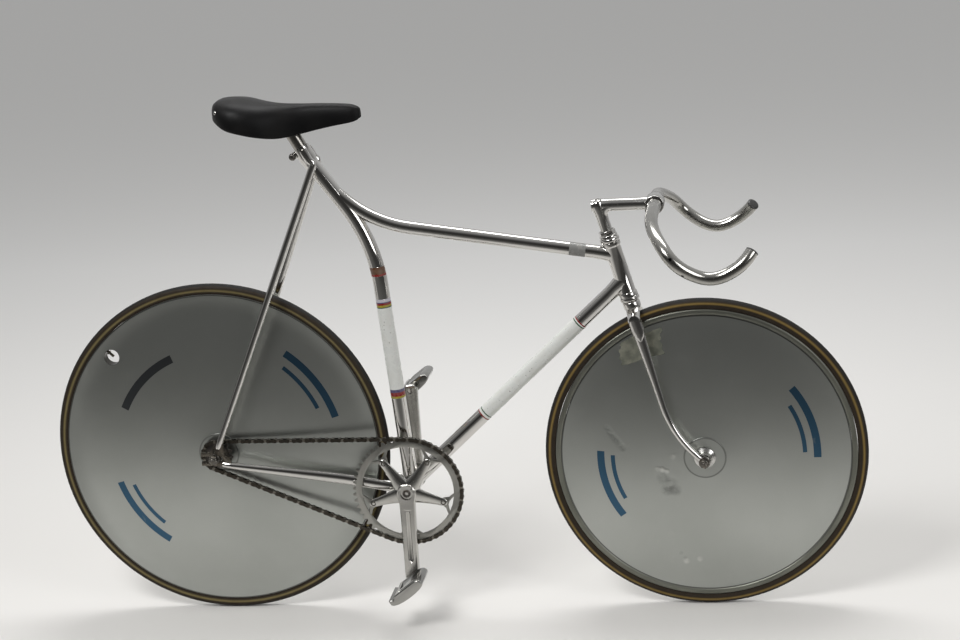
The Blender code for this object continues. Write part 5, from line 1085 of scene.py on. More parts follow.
class BICYCLE_OT_bars(Operator):
    """Models the stem and the cow-horn handlebar with its end plugs"""
    bl_idname = "bicycle.bars"
    bl_label = "Stem and handlebar"

    def execute(self, context):
        alloy = alloy_finish("polished_stem", (0.66, 0.65, 0.625), 0.06)
        stem = begin("stem_polished")
        knee = on_steering(0.0, 0.0, STEM_UP)
        quill = [on_steering(0.0, 0.0, up) for up in (0.092, 0.15, 0.17, 0.178, 0.185, 0.192, 0.198)]
        sizes = [0.0111] * 3 + [(0.0114, 0.0115), (0.012, 0.0122), (0.0124, 0.0128), (0.0126, 0.013)]
        quill += [knee + HEAD_UP * 0.004 + FORWARD * 0.0003, knee + HEAD_UP * 0.0085, knee + HEAD_UP * 0.0112]
        sizes += [(0.0123, 0.0127), (0.0108, 0.011), (0.0072, 0.0075)]
        add_tube(stem, quill, sizes, 32)
        reach = [-0.0126, -0.0118, -0.006, 0.012, 0.022, 0.04, 0.06, 0.078, 0.088, STEM_REACH]
        halves = [(0.009, 0.0098), (0.0104, 0.0112), (0.0112, 0.0118), (0.0112, 0.012), (0.011, 0.012),
                  (0.0106, 0.0118), (0.0106, 0.0117), (0.011, 0.0119), (0.0118, 0.0124), (0.011, 0.011)]
        add_tube(stem, [knee + FORWARD * x for x in reach], halves, 32)
        add_tube(stem, self.inner_corner(knee), 0.0108, 32)
        clamp = [(0.0131, 0.0), (0.0131, 0.0195), (0.017, 0.0195), (0.0178, 0.018), (0.0178, 0.0)]
        add_turned(stem, eased_half(clamp, 0.0005), BAR_CENTRE, LEFT, 56)
        tidy()
        dress(stem, alloy, "steering", ["stem"])
        self.stem_bolts(knee)
        self.bar()
        return {"FINISHED"}

    def inner_corner(self, knee):
        """Curve that fills the corner between the quill and the extension."""
        low, out = knee - HEAD_UP * 0.03, knee + FORWARD * 0.032
        return [low.lerp(knee, k / 8).lerp(knee.lerp(out, k / 8), k / 8) for k in range(9)]

    def stem_bolts(self, knee):
        """Expander bolt in the knee and pinch bolt under the clamp."""
        steel = steel_finish("bolt_steel", (0.2, 0.19, 0.18), 0.3, 0.2)
        bolts = begin("stem_bolts")
        cap = [(0.0, 0.004), (0.0028, 0.004), (0.0028, 0.0118), (0.0052, 0.0118), (0.0052, 0.006), (0.0, 0.006)]
        add_turned(bolts, eased(cap, 0.0004), knee, HEAD_UP, 24)
        under = BAR_CENTRE - Vector((0.0135, 0.0, 0.0125))
        add_turned(bolts, eased(rod(0.0046, -0.008, 0.008), 0.0006), under, LEFT, 24)
        tidy()
        dress(bolts, steel, "steering")

    def bar(self):
        """Bent bar with a thicker sleeve in the clamp, dark nicks where the photograph has them, and its plugs."""
        half = spline([BAR_CENTRE + Vector(point) for point in BAR_CURVE], 6)
        right = [on_side(point, -1) for point in reversed(half)]
        sleeve = [BAR_CENTRE + LEFT * y for y in (-0.04, -0.036, 0.036, 0.04)]
        path = right + sleeve + half
        radii = [0.0128 if abs(point.y) < 0.0365 else 0.01165 for point in path]
        piece = tube("handlebar_satin", path, radii, 32, HEAD_FORWARD)
        bpy.context.view_layer.update()
        nicks = []
        for aim in (Vector((0.7914, -0.232, -0.2846)), Vector((0.8113, -0.232, -0.3151))):
            nicks.append(piece.ray_cast(VIEWPOINT, (aim - VIEWPOINT).normalized())[1])
        finish = alloy_finish("satin_bar", (0.5, 0.49, 0.46), 0.1, 0.00002, nicks)
        dress(piece, finish, "steering", ["handlebar"])
        black = plain_finish("plug_black", (0.04, 0.039, 0.037), 0.34)
        profile = eased([(0.0, -0.006), (0.0104, -0.006), (0.0104, 0.0), (0.0117, 0.0), (0.0117, 0.0022),
                         (0.0085, 0.0036), (0.0, 0.0036)], 0.0004)
        for side, sign in SIDES:
            before, end = (on_side(point, sign) for point in half[-2:])
            plug = turned("bar_plug_black_" + side, profile, end, (end - before).normalized(), 40)
            dress(plug, black, "steering", ["bar_plug_" + side])


# Saddle and seat post

SADDLE_SECTIONS = (
    (0.0, 0.34, 0.22, 0.48), (0.035, 0.66, 0.04, 0.73), (0.11, 0.92, 0.01, 1.03), (0.21, 1.0, 0.05, 1.16),
    (0.33, 0.86, 0.215, 1.19), (0.45, 0.56, 0.31, 1.22), (0.58, 0.35, 0.35, 1.1), (0.72, 0.27, 0.375, 0.925),
    (0.86, 0.25, 0.42, 0.75), (0.95, 0.22, 0.48, 0.62), (1.0, 0.13, 0.62, 0.38))
SADDLE_RING = (
    (0.0, 0.0), (0.24, 0.008), (0.45, 0.03), (0.64, 0.075), (0.8, 0.16), (0.92, 0.3), (0.985, 0.5), (1.0, 0.72),
    (0.985, 0.93), (0.965, 0.995), (0.925, 0.995), (0.91, 0.93), (0.88, 0.7), (0.78, 0.48), (0.56, 0.34), (0.28, 0.28),
    (0.0, 0.26))


class BICYCLE_OT_saddle(Operator):
    """Models the saddle, its rails, the seat post with its clamp, and the binder bolt"""
    bl_idname = "bicycle.saddle"
    bl_label = "Saddle and seat post"

    def execute(self, context):
        piece = begin("saddle_cover")
        sections = [self.section(k / 26) for k in range(27)]
        for i, points in enumerate(sections):
            add_chain(piece, points, closed=True)
            fasten_ring(piece, i, len(sections), len(points))
        tidy()
        apply(piece, "SUBSURF", levels=1, render_levels=1)
        dress(piece, leather_finish("saddle_black"), "frame", ["saddle"], 60.0)
        self.rivets(piece)
        self.rails()
        self.post()
        self.binder()
        return {"FINISHED"}

    def section(self, share):
        """Points round one saddle section at a share of its length."""
        width, below, depth = (smooth_table([(row[0], row[k]) for row in SADDLE_SECTIONS], share) for k in (1, 2, 3))
        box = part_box("saddle")
        inset = 0.0006
        x = box[0].x + inset + (box[1].x - box[0].x - 2 * inset) * share
        top = 0.001 - 0.05 * below - inset
        right = [Vector((x, -0.0704 * width * side, top - 0.05 * depth * down)) for side, down in SADDLE_RING]
        return right + [on_side(point, -1) for point in reversed(right[1:-1])]

    def rivets(self, cover):
        """Small bright rivets that hold the cover at its rear corners."""
        bpy.context.view_layer.update()
        rivets = begin("saddle_rivets")
        for sign in (-1, 1):
            aim = Vector((-0.0405, sign * 0.048, -0.0205))
            out = Vector((-0.55, sign * 0.8, 0.2)).normalized()
            found, place, normal, _ = cover.ray_cast(aim + out * 0.05, -out)
            if not found:
                place, normal = aim, out
            profile = [(0.0, -0.004), (0.0036, -0.004), (0.0038, 0.0), (0.003, 0.0011), (0.0015, 0.0017), (0.0, 0.0018)]
            add_turned(rivets, profile, place, normal, 20)
        tidy()
        dress(rivets, plain_finish("rivet_steel", (0.62, 0.61, 0.59), 0.18, 1.0), "frame")

    def rails(self):
        rail_z = POST_TOP.z
        rear, nose = -0.0225, 0.1939
        corners = []
        for sign in (-1, 1):
            half = [Vector((rear, sign * 0.0306, rail_z + 0.015)), Vector((rear + 0.0337, sign * 0.018, rail_z)),
                    Vector((0.1096, sign * 0.018, rail_z)), Vector((nose, sign * 0.008, rail_z + 0.012))]
            corners += half if sign < 0 else list(reversed(half))
        path = split_runs(rounded(corners, [0.014, 0.021, 0.0076, 0.0076, 0.021, 0.014], 8.0), 0.02)
        piece = tube("saddle_rail_plated", path, 0.0035, 16)
        dress(piece, chrome_finish("chrome_rail"), "frame", ["saddle_rails"])

    def post(self):
        """Seat post with the two halves of its clamp round the rails and the clamp's bolts."""
        path = split_runs([SEAT_TOP - SEAT_UP * 0.03, POST_TOP - SEAT_UP * 0.006], 0.008)
        piece = tube("seat_post_polished", path, 0.0132, 40)
        alloy = alloy_finish("polished_post", (0.36, 0.345, 0.32), 0.14)
        dress(piece, alloy, "frame", ["seat_post"])
        clamp = begin("seat_clamp")
        for low, high in ((-0.0075, -0.0006), (0.0006, 0.0075)):
            level = (low + high) / 2
            outline = ((-0.013, low), (0.013, low), (0.0155, level), (0.0125, high), (-0.0125, high), (-0.0155, level))
            add_plate(clamp, [Vector((POST_TOP.x + x, 0.0, POST_TOP.z + z)) for x, z in outline], 0.044, 0.0)
        tidy()
        bevel(clamp, 0.0008)
        dress(clamp, alloy, "frame")
        bolt = begin("clamp_bolts")
        for sign in (-1, 1):
            place = POST_TOP + LEFT * (sign * 0.0218)
            add_turned(bolt, eased(rod(0.0052, 0.0, sign * 0.0007), 0.0002), place, LEFT, 6)
        tidy()
        dress(bolt, steel_finish("clamp_bolt_steel", (0.22, 0.21, 0.2), 0.3, 0.2), "frame")

    def binder(self):
        piece = begin("seat_binder_bolt_steel")
        centre = binder_centre()
        add_turned(piece, rod(0.0042, -0.0098, 0.0098), centre, LEFT, 24)
        head = eased([(0.0, 0.0102), (0.006, 0.0102), (0.006, 0.0132), (0.0044, 0.0142), (0.0026, 0.0142),
                      (0.0026, 0.0124), (0.0, 0.0124)], 0.0003)
        for sign in (-1, 1):
            add_turned(piece, to_side(head, sign), centre, LEFT, 24)
        tidy()
        steel = steel_finish("binder_steel", (0.16, 0.15, 0.14), 0.32, 0.3)
        dress(piece, steel, "frame", ["seat_binder_bolt"])


def smooth_table(rows, share):
    """Reads a table of (share, value) on a smooth curve through its points."""
    i = next(i for i in range(len(rows) - 1) if share <= rows[i + 1][0] or i == len(rows) - 2)
    s0, v0 = rows[i]
    s1, v1 = rows[i + 1]
    before = rows[i - 1] if i else (s0 - (s1 - s0), v0 - (v1 - v0))
    after = rows[i + 2] if i + 2 < len(rows) else (s1 + (s1 - s0), v1 + (v1 - v0))
    t = (share - s0) / (s1 - s0)
    lean0 = (v1 - before[1]) / (s1 - before[0]) * (s1 - s0)
    lean1 = (after[1] - v0) / (after[0] - s0) * (s1 - s0)
    a = 2 * t ** 3 - 3 * t ** 2 + 1
    b = t ** 3 - 2 * t ** 2 + t
    c = 3 * t ** 2 - 2 * t ** 3
    d = t ** 3 - t ** 2
    return a * v0 + b * lean0 + c * v1 + d * lean1


# Wheels

RIM_HALF = 0.0095
DISC_FOOT = 0.04


def disc_half(rim_inner, hub_half, edge_half, edge_radius):
    """Upper half of a disc's section, from its bore out to its edge."""
    points = [(0.0203, hub_half), (0.0372, hub_half), (0.038, hub_half), (0.0396, hub_half),
              (DISC_FOOT, hub_half - 0.0004), (0.0402, hub_half - 0.0016)]
    for k in range(1, 15):
        share = k / 15
        radius = DISC_FOOT + (rim_inner - DISC_FOOT) * share
        lens = hub_half - 0.0016 + (edge_half - hub_half) * share
        points.append((radius, lens + (hub_half - edge_half) * 0.16 * math.sin(math.pi * share)))
    points += [(rim_inner, edge_half - 0.0008)]
    if edge_radius > rim_inner:
        points += [((rim_inner + edge_radius) / 2, edge_half - 0.0002), (edge_radius - 0.0006, edge_half),
                   (edge_radius, edge_half - 0.0008)]
    return points


class BICYCLE_OT_wheels(Operator):
    """Models the two disc wheels: skins, rim, tyres, hubs and axles"""
    bl_idname = "bicycle.wheels"
    bl_label = "Wheels"

    def execute(self, context):
        settings = context.scene.bicycle_wheels
        bar = tuple(settings.bar)
        steps = settings.steps
        front_marks = [(FRONT_AXLE + Vector((x, 0.0, z)), size, amount) for x, z, size, amount in (
            (-0.182, 0.06, 0.008, 0.22), (-0.177, 0.052, 0.009, 0.28), (-0.1715, 0.044, 0.009, 0.3),
            (-0.166, 0.036, 0.0095, 0.32), (-0.1605, 0.028, 0.009, 0.3), (-0.154, 0.021, 0.0085, 0.34),
            (-0.09, -0.021, 0.006, -0.4), (-0.081, -0.0225, 0.007, -0.5), (-0.072, -0.026, 0.006, -0.4),
            (-0.0786, -0.0395, 0.016, 0.3), (-0.064, -0.05, 0.014, 0.28), (-0.073, -0.063, 0.014, 0.48),
            (-0.057, -0.064, 0.013, 0.42), (-0.0602, 0.0035, 0.007, -0.35), (-0.0535, -0.196, 0.005, 0.35),
            (-0.044, -0.213, 0.008, -0.45), (-0.018, -0.209, 0.007, -0.45), (-0.046, -0.206, 0.005, 0.3))]
        front_bars = [(18, 0.35, 0.202, 0.216, bar), (16, 0.26, 0.182, 0.19, bar),
                      (196, 0.35, 0.19, 0.204, bar), (193, 0.26, 0.17, 0.178, bar)]
        rear_bars = [(34, 0.33, 0.236, 0.25, bar), (36, 0.24, 0.214, 0.222, bar),
                     (133, 0.36, 0.198, 0.214, (0.06, 0.065, 0.075)),
                     (216, 0.35, 0.214, 0.228, bar), (214, 0.25, 0.192, 0.2, bar)]
        self.wheel("front", FRONT_AXLE, settings.front_radius, 0.028, 0.0455, steps, front_marks, front_bars, 0.011)
        self.wheel("rear", REAR_AXLE, settings.rear_radius, 0.031, 0.055, steps, [], rear_bars, 0.0)
        self.axle("front", FRONT_AXLE, 0.0455, 0.05, 0.005, "steering")
        self.axle("rear", REAR_AXLE, 0.055, 0.06, 0.0055, "frame")
        self.patch()
        return {"FINISHED"}

    def wheel(self, name, axle, outer, hub_half, shell_half, steps, marks, bars, band):
        """One wheel. Its skin ends at a rim of the width band, or runs up to the tyre where band is 0."""
        body = name + "_wheel"
        rim = outer - 0.01995
        inner = rim - (band or 0.017)
        half = disc_half(inner, hub_half, RIM_HALF, inner if band else rim)
        skin = turned(name + "_disc_skin", mirrored(half), axle, LEFT, steps)
        hole = None
        if name == "rear":
            hole = axle + spoke(math.radians(136.0)) * (rim - 0.034)
            cut(skin, turned("valve_hole", rod(0.0155, -0.04, 0.04), hole, LEFT, 48))
            self.valve(name, hole, (hole - axle).normalized(), body)
        edge = inner - 0.001 if band else rim - 0.0015
        finish = disc_finish(name + "_disc_grey", axle, edge, marks, bars, hole)
        dress(skin, finish, body, [name + "_disc"], 25.0)
        if band:
            profile = eased_half([
                (inner + 0.0003, 0.0), (inner + 0.0003, 0.0083), (inner + 0.0022, 0.0098), (rim - 0.0022, 0.0098),
                (rim - 0.0004, 0.009), (rim - 0.0004, 0.0)], 0.0003)
            ring = turned(name + "_rim", profile, axle, LEFT, steps)
            dress(ring, alloy_finish("rim_alloy", (0.24, 0.245, 0.21), 0.34, 0.00002), body)
        self.tyre(name, axle, outer, rim, steps, body)
        profile = [(0.0055, shell_half), (0.0122, shell_half), (0.0125, shell_half - 0.0004),
                   (0.0125, hub_half + 0.008), (0.014, hub_half + 0.0045), (0.02, hub_half + 0.0012),
                   (0.02, hub_half - 0.004)]
        hub = turned(name + "_hub_polished", mirrored(profile), axle, LEFT, 56)
        alloy = alloy_finish(name + "_hub_alloy", (0.66, 0.655, 0.63), 0.14)
        dress(hub, alloy, body, [name + "_hub"])

    def tyre(self, name, axle, outer, rim, steps, body):
        """Tubular tyre: round casing with fine tread ribs, seated in the rim."""
        middle = outer - 0.0105
        seat = rim + 0.0004
        points = [(seat, -0.0078)]
        count = 30
        for k in range(count + 1):
            angle = (k / count - 0.5) * math.pi * 1.34
            rib = 0.00022 if abs(angle) < 0.93 and k % 2 else 0.0
            radius = 0.0103 - rib
            points.append((middle + radius * math.cos(angle), radius * math.sin(angle)))
        points.append((seat, 0.0078))
        piece = turned(name + "_tyre_tread", loop(points), axle, LEFT, steps)
        # Where each tyre's painted highlight lies round the section, in the side wall's amber tint, and its brightest
        # colour.
        stripe = (1.16, 1.68, (0.21, 0.14, 0.04)) if name == "front" else (1.48, 2.04, (0.175, 0.138, 0.058))
        finish = tyre_finish(name + "_tyre_cotton", axle, middle, stripe)
        dress(piece, finish, body, [name + "_tyre"], 50.0)

    def valve(self, name, centre, out, body):
        """Valve stem that stands in the disc's hole."""
        piece = begin(name + "_valve")
        add_turned(piece, eased(rod(0.0026, -0.001, 0.0164), 0.0003), centre, out, 20)
        add_turned(piece, loop(eased(rod(0.0046, 0.0095, 0.012, 0.0027), 0.0004)), centre, out, 6)
        tidy()
        dress(piece, alloy_finish("valve_brass", (0.15, 0.13, 0.095), 0.3), body)

    def axle(self, name, place, hub_half, dropout_half, thickness, body):
        """Axle with cones, washers and hexagonal track nuts on both sides."""
        piece = begin(name + "_axle_steel")
        inner = hub_half + 0.001
        face = dropout_half - 0.0003
        outer = dropout_half + thickness + 0.0003
        nut = outer + 0.0022
        end = nut + 0.0095
        core = 0.0049
        shaft = [(0.0, -end - 0.0045), (0.0042, -end - 0.0045), (core, -end - 0.0035), (core, end + 0.0035),
                 (0.0042, end + 0.0045), (0.0, end + 0.0045)]
        add_turned(piece, eased(shaft, 0.0003), place, LEFT, 28)
        cone = [(core, inner), (0.007, inner), (0.0085, inner + 0.0012), (0.0085, face), (core, face)]
        washer = rod(0.0105, outer, nut - 0.0002, core)
        track_nut = [(core, nut), (0.00866, nut), (0.00866, end - 0.001), (0.0076, end), (core, end)]
        collar = [(core, end - 0.0015), (0.007, end - 0.0015), (0.0068, end + 0.0008), (core, end + 0.0012)]
        for sign in (-1, 1):
            for steps, profile in ((36, cone), (40, washer), (6, track_nut), (36, collar)):
                add_turned(piece, loop(eased(to_side(profile, sign), 0.0003)), place, LEFT, steps)
        tidy()
        finish = steel_finish(name + "_axle_dark", (0.17, 0.16, 0.145), 0.24, 0.3)
        dress(piece, finish, body, [name + "_axle"])

    def patch(self):
        """Thin tape over the front disc's valve hole, following the skin."""
        piece = begin("front_disc_tape")
        bpy.ops.mesh.primitive_grid_add(x_subdivisions=14, y_subdivisions=18, size=1.0, location=(0.0, 0.0, 0.0))
        edge = 0.27305
        skin = disc_half(edge, 0.028, RIM_HALF, edge)[5:]
        mesh = bmesh.from_edit_mesh(piece.data)
        for vert in mesh.verts:
            ragged = 1.0 + 0.07 * math.sin(9.0 * vert.co.x + 5.0 * vert.co.y) + 0.05 * math.sin(23.0 * vert.co.y)
            x = -0.11 + 0.078 * vert.co.x * ragged
            z = 0.217 + 0.048 * vert.co.y * ragged + 0.024 * vert.co.x
            radius = math.hypot(x, z)
            inside = min(1.0, 0.271 / radius)
            vert.co = FRONT_AXLE + Vector((x * inside, -read_table(skin, radius * inside) - 0.0004, z * inside))
        bmesh.update_edit_mesh(piece.data)
        rest()
        apply(piece, "SOLIDIFY", thickness=0.0003, offset=0.0)
        tape = Finish("tape_film")
        crease = tape.noise(60.0, 6.0)
        tone = tape.mix((0.215, 0.215, 0.17), (0.115, 0.12, 0.095), tape.spread(crease, 0.38, 0.62))
        tape.set(Roughness=0.34 + crease * 0.25, Base_Color=tone)
        tape.bump(crease, 0.0016)
        dress(piece, tape.material, "front_wheel", (), 60.0)


# Gear

PITCH = 0.0127
RING_TEETH = 52
COG_TEETH = 14
LINKS = 94
CHAIN_Y = -0.043


def pitch_radius(teeth):
    """Radius of the circle on which a sprocket carries the chain's pins."""
    return PITCH / (2 * math.sin(math.pi / teeth))


def chain_point(count):
    """Place on the chain's centre line a number of pitches from its start, and the direction there."""
    ring, cog = pitch_radius(RING_TEETH), pitch_radius(COG_TEETH)
    span = REAR_AXLE - CRANK_AXIS
    distance = math.hypot(span.x, span.z)
    lean = math.asin((ring - cog) / distance)
    line = math.atan2(span.z, span.x)
    straight = distance * math.cos(lean) / PITCH
    runs = (
        ((math.pi + 2 * lean) * RING_TEETH / TURN, CRANK_AXIS, ring, line - math.pi / 2 + lean, RING_TEETH),
        (straight, CRANK_AXIS, ring, line + math.pi / 2 - lean, 0),
        ((math.pi - 2 * lean) * COG_TEETH / TURN, REAR_AXLE, cog, line + math.pi / 2 - lean, COG_TEETH),
        (straight, REAR_AXLE, cog, line - math.pi / 2 + lean, 0))
    count = count % LINKS
    run = 0
    while run < len(runs) - 1 and count >= runs[run][0]:
        count -= runs[run][0]
        run += 1
    _, centre, radius, start, teeth = runs[run]
    angle = start - (count * TURN / teeth if teeth else 0.0)
    place = centre + spoke(angle) * radius
    ahead = Vector((math.sin(angle), 0.0, -math.cos(angle)))
    return (place if teeth else place + ahead * count * PITCH), ahead


class BICYCLE_OT_gear(Operator):
    """Models the roller chain link by link, the chainring and the fixed cog"""
    bl_idname = "bicycle.gear"
    bl_label = "Chain and sprockets"

    def execute(self, context):
        self.chain()
        ring = refined("chainring_satin", "chainring", 0.00035)
        alloy = alloy_finish("ring_alloy", (0.36, 0.355, 0.33), 0.26, 0.00002)
        dress(ring, alloy, "crank", ["chainring"])
        cog = refined("cog_steel", "cog", 0.00035)
        dress(cog, steel_finish("cog_dark", (0.13, 0.12, 0.11), 0.3, 0.4), "rear_wheel", ["cog"])
        return {"FINISHED"}

    def chain(self):
        """The plates as one piece and the pins with their rollers as another, gathered from copies."""
        plates = begin("chain_links")
        pins = begin("chain_pins")
        rest()
        outer = self.link_plate(0.0034, 0.0043)
        inner = self.link_plate(0.002, 0.003)
        places = [chain_point(link)[0] for link in range(LINKS + 1)]
        copies = []
        for link, (a, b) in enumerate(zip(places, places[1:])):
            ahead = (b - a).normalized()
            turn = Matrix.Rotation(math.atan2(-ahead.z, ahead.x), 4, "Y")
            place = Matrix.Translation((a + b) / 2 + LEFT * CHAIN_Y) @ turn
            copies.append(self.placed_copy(outer if link % 2 else inner, place))
        self.gather(plates, copies)
        dress(plates, chain_finish("chain_steel"), "frame", ["chain"], 30.0)
        roller = mirrored([(0.0, 0.0017), (0.0036, 0.0017), (0.0038, 0.0014)])[1:-2]
        pin = mirrored([(0.0, 0.0043), (0.0014, 0.0043), (0.0018, 0.004)])[1:-2]
        sources = [turned("roller", roller, Vector(), LEFT, 12), turned("pin", pin, Vector(), LEFT, 8)]
        self.gather(pins, [self.placed_copy(source, Matrix.Translation(place + LEFT * CHAIN_Y))
                           for place in places[:-1] for source in sources])
        steel = steel_finish("pin_steel", (0.24, 0.225, 0.2), 0.28, 0.1)
        dress(pins, steel, "frame", (), 30.0)
        for source in [outer, inner] + sources:
            bpy.data.objects.remove(source, do_unlink=True)

    def placed_copy(self, source, place):
        """A copy of a small piece with its mesh moved to its place."""
        copy = source.copy()
        copy.data = copy.data.copy()
        bpy.context.scene.collection.objects.link(copy)
        copy.data.transform(place)
        return copy

    def gather(self, target, copies):
        """Joins the copies into the target piece."""
        rest()
        for copy in copies:
            copy.select_set(True)
        target.select_set(True)
        bpy.context.view_layer.objects.active = target
        bpy.ops.object.join()
        rest()

    def link_plate(self, near, far):
        """A pair of waisted link plates on both sides of the chain's middle."""
        piece = begin("link_plate")
        for sign in (-1, 1):
            middle = sign * (near + far) / 2
            bpy.ops.mesh.select_all(action="DESELECT")
            bpy.ops.mesh.primitive_circle_add(
                vertices=20, radius=0.0042, location=(0.0, middle - (far - near) / 2, 0.0),
                rotation=(math.pi / 2, 0.0, 0.0), fill_type="NGON")
            mesh = bmesh.from_edit_mesh(piece.data)
            for vert in mesh.verts:
                if vert.select:
                    if abs(vert.co.x) < 0.0006:
                        vert.co.z *= 0.68
                    else:
                        vert.co.x += math.copysign(PITCH / 2, vert.co.x)
            bmesh.update_edit_mesh(piece.data)
            bpy.ops.mesh.extrude_region_move(TRANSFORM_OT_translate={"value": (0.0, far - near, 0.0)})
        tidy()
        return piece


# Cranks and pedals

BOLT_CIRCLE = 0.072
SPIDER = [spoke(-math.pi / 2 + index * TURN / 5) for index in range(5)]
CRANK_LENGTH = 0.17
CRANK_FOOT = 0.055
CRANK_SPLAY = 0.009


def arm_box(place, half_x, half_y, cut_share=0.35):
    """Corners of a crank section with cut corners."""
    cut_by = min(half_x, half_y) * cut_share
    corners = (
        (half_x, half_y - cut_by), (half_x - cut_by, half_y), (cut_by - half_x, half_y), (-half_x, half_y - cut_by),
        (-half_x, cut_by - half_y), (cut_by - half_x, -half_y), (half_x - cut_by, -half_y), (half_x, cut_by - half_y))
    return [place + Vector((x, y, 0.0)) for x, y in corners]


class BICYCLE_OT_cranks(Operator):
    """Models the fluted crank arms, the five-arm spider, the chainring bolts, the spindle and pedal axles"""
    bl_idname = "bicycle.cranks"
    bl_label = "Cranks"

    def execute(self, context):
        alloy = alloy_finish("crank_alloy", (0.6, 0.59, 0.56), 0.12)
        for side, sign in SIDES:
            piece = self.arm(side, sign)
            if sign < 0:
                self.spider(piece)
            dress(piece, alloy, "crank", ["crank_arm_" + side], 40.0)
        self.small_parts()
        return {"FINISHED"}

    def arm(self, side, sign):
        """One arm with its boss, lofted, fluted and bored."""
        piece = begin("crank_polished_" + side)
        down = Vector((0.0, 0.0, sign))
        stations = ((-0.105, 0.42, 0.6), (-0.095, 0.62, 0.8), (-0.07, 0.85, 0.92), (-0.03, 0.97, 1.0), (0.0, 1.0, 1.0),
                    (0.05, 0.95, 1.0), (0.09, 0.86, 1.0), (0.14, 0.815, 1.0), (0.18, 0.8, 1.0), (0.34, 0.775, 0.97),
                    (0.5, 0.755, 0.95), (0.7, 0.745, 0.93), (0.9, 0.74, 0.92), (1.0, 0.74, 0.92), (1.03, 0.7, 0.9),
                    (1.05, 0.6, 0.84), (1.063, 0.47, 0.74), (1.071, 0.3, 0.55))
        for i, (share, width, thick) in enumerate(stations):
            across = sign * (CRANK_FOOT + CRANK_SPLAY * min(max(share, 0.0), 1.0))
            place = CRANK_AXIS + LEFT * across + down * (CRANK_LENGTH * share)
            add_chain(piece, arm_box(place, 0.0185 * width, 0.00675 * thick), closed=True)
            fasten_ring(piece, i, len(stations), 8)
        tidy()
        boss = [(0.0, 0.0396), (0.0178, 0.0396), (0.0185, 0.0405), (0.0185, 0.0606), (0.0172, 0.0617), (0.0, 0.0617)]
        cut(piece, turned("crank_boss", to_side(boss, sign), CRANK_AXIS, LEFT, 56), "UNION")
        bevel(piece, 0.0009, 3, 28.0)
        cut(piece, turned("boss_recess", to_side(rod(0.0118, 0.0585, 0.064), sign), CRANK_AXIS, LEFT, 40))
        face = sign * (CRANK_FOOT + CRANK_SPLAY * 0.52 + 0.0078)
        flute = [CRANK_AXIS + LEFT * (face + (s - 0.5) * sign * 0.007) + down * (CRANK_LENGTH * s)
                 for s in (0.19, 0.205, 0.23, 0.5, 0.78, 0.8, 0.815)]
        run_in = [(0.0018, 0.0012), (0.004, 0.0032)]
        sizes = run_in + [(0.0052, 0.0042)] * 3 + run_in[::-1]
        cut(piece, tube("flute", flute, sizes, 20, FORWARD))
        hole = to_side(rod(0.006, 0.05, 0.08), sign)
        cut(piece, turned("eye_hole", hole, CRANK_AXIS + down * CRANK_LENGTH, LEFT, 32))
        return piece

    def spider(self, piece):
        """Five tapering, rounded arms from the boss to the bolt circle."""
        arms = begin("spider")
        reach = (0.01, 0.022, 0.032, 0.044, 0.056, 0.066, 0.0745, 0.0785, 0.08)
        widths = (0.0165, 0.015, 0.0128, 0.0108, 0.0092, 0.0084, 0.0074, 0.0052, 0.0026)
        depths = (0.0062, 0.0056, 0.0048, 0.004, 0.0033, 0.0029, 0.0027, 0.0024, 0.0016)
        lean = (-0.052, -0.0514, -0.0504, -0.0492, -0.0482, -0.0477, -0.0475, -0.0475, -0.0475)
        for out in SPIDER:
            path = [CRANK_AXIS + out * r + LEFT * y for r, y in zip(reach, lean)]
            add_tube(arms, path, list(zip(widths, depths)), 24, Vector((-out.z, 0.0, out.x)))
        tidy()
        cut(piece, arms, "UNION")

    def small_parts(self):
        """Chainring bolts, spindle with its two bolts, and pedal axles."""
        steel = steel_finish("crank_bolt_steel", (0.075, 0.07, 0.064), 0.28, 0.3)
        bolts = begin("chainring_bolts")
        cap = eased([
            (0.0, -0.0489), (0.003, -0.0489), (0.003, -0.0508), (0.0044, -0.0508), (0.0052, -0.05),
            (0.0052, -0.0485), (0.004, -0.0485), (0.004, -0.0412), (0.0052, -0.0412), (0.0052, -0.04),
            (0.0, -0.04)], 0.0002)
        for out in SPIDER:
            add_turned(bolts, cap, CRANK_AXIS + out * BOLT_CIRCLE, LEFT, 24)
        tidy()
        dress(bolts, steel, "crank")
        spindle = begin("crank_spindle_steel")
        core = [(0.0, -0.056), (0.008, -0.056), (0.0084, -0.055), (0.0084, 0.055), (0.008, 0.056), (0.0, 0.056)]
        add_turned(spindle, eased(core, 0.0002), CRANK_AXIS, LEFT, 32)
        cap = eased([(0.0, 0.0562), (0.006, 0.0562), (0.0075, 0.0568), (0.008, 0.059), (0.0068, 0.06),
                     (0.0036, 0.06), (0.0036, 0.058), (0.0, 0.058)], 0.0002)
        for sign in (-1, 1):
            add_turned(spindle, to_side(cap, sign), CRANK_AXIS, LEFT, 24)
        tidy()
        dress(spindle, steel, "crank", ["crank_spindle"])
        profile = eased([
            (0.0, 0.0596), (0.0054, 0.0596), (0.0054, 0.0705), (0.0084, 0.0708), (0.0084, 0.0764), (0.0054, 0.0768),
            (0.0054, 0.133), (0.0046, 0.134), (0.0, 0.134)], 0.0003)
        for side, sign in SIDES:
            eye = CRANK_AXIS + Vector((0.0, 0.0, sign * CRANK_LENGTH))
            axle = turned("pedal_axle_steel_" + side, to_side(profile, sign), eye, LEFT, 32)
            dress(axle, chrome_finish("chrome_pedal_axle_" + side), "crank", ["pedal_axle_" + side])


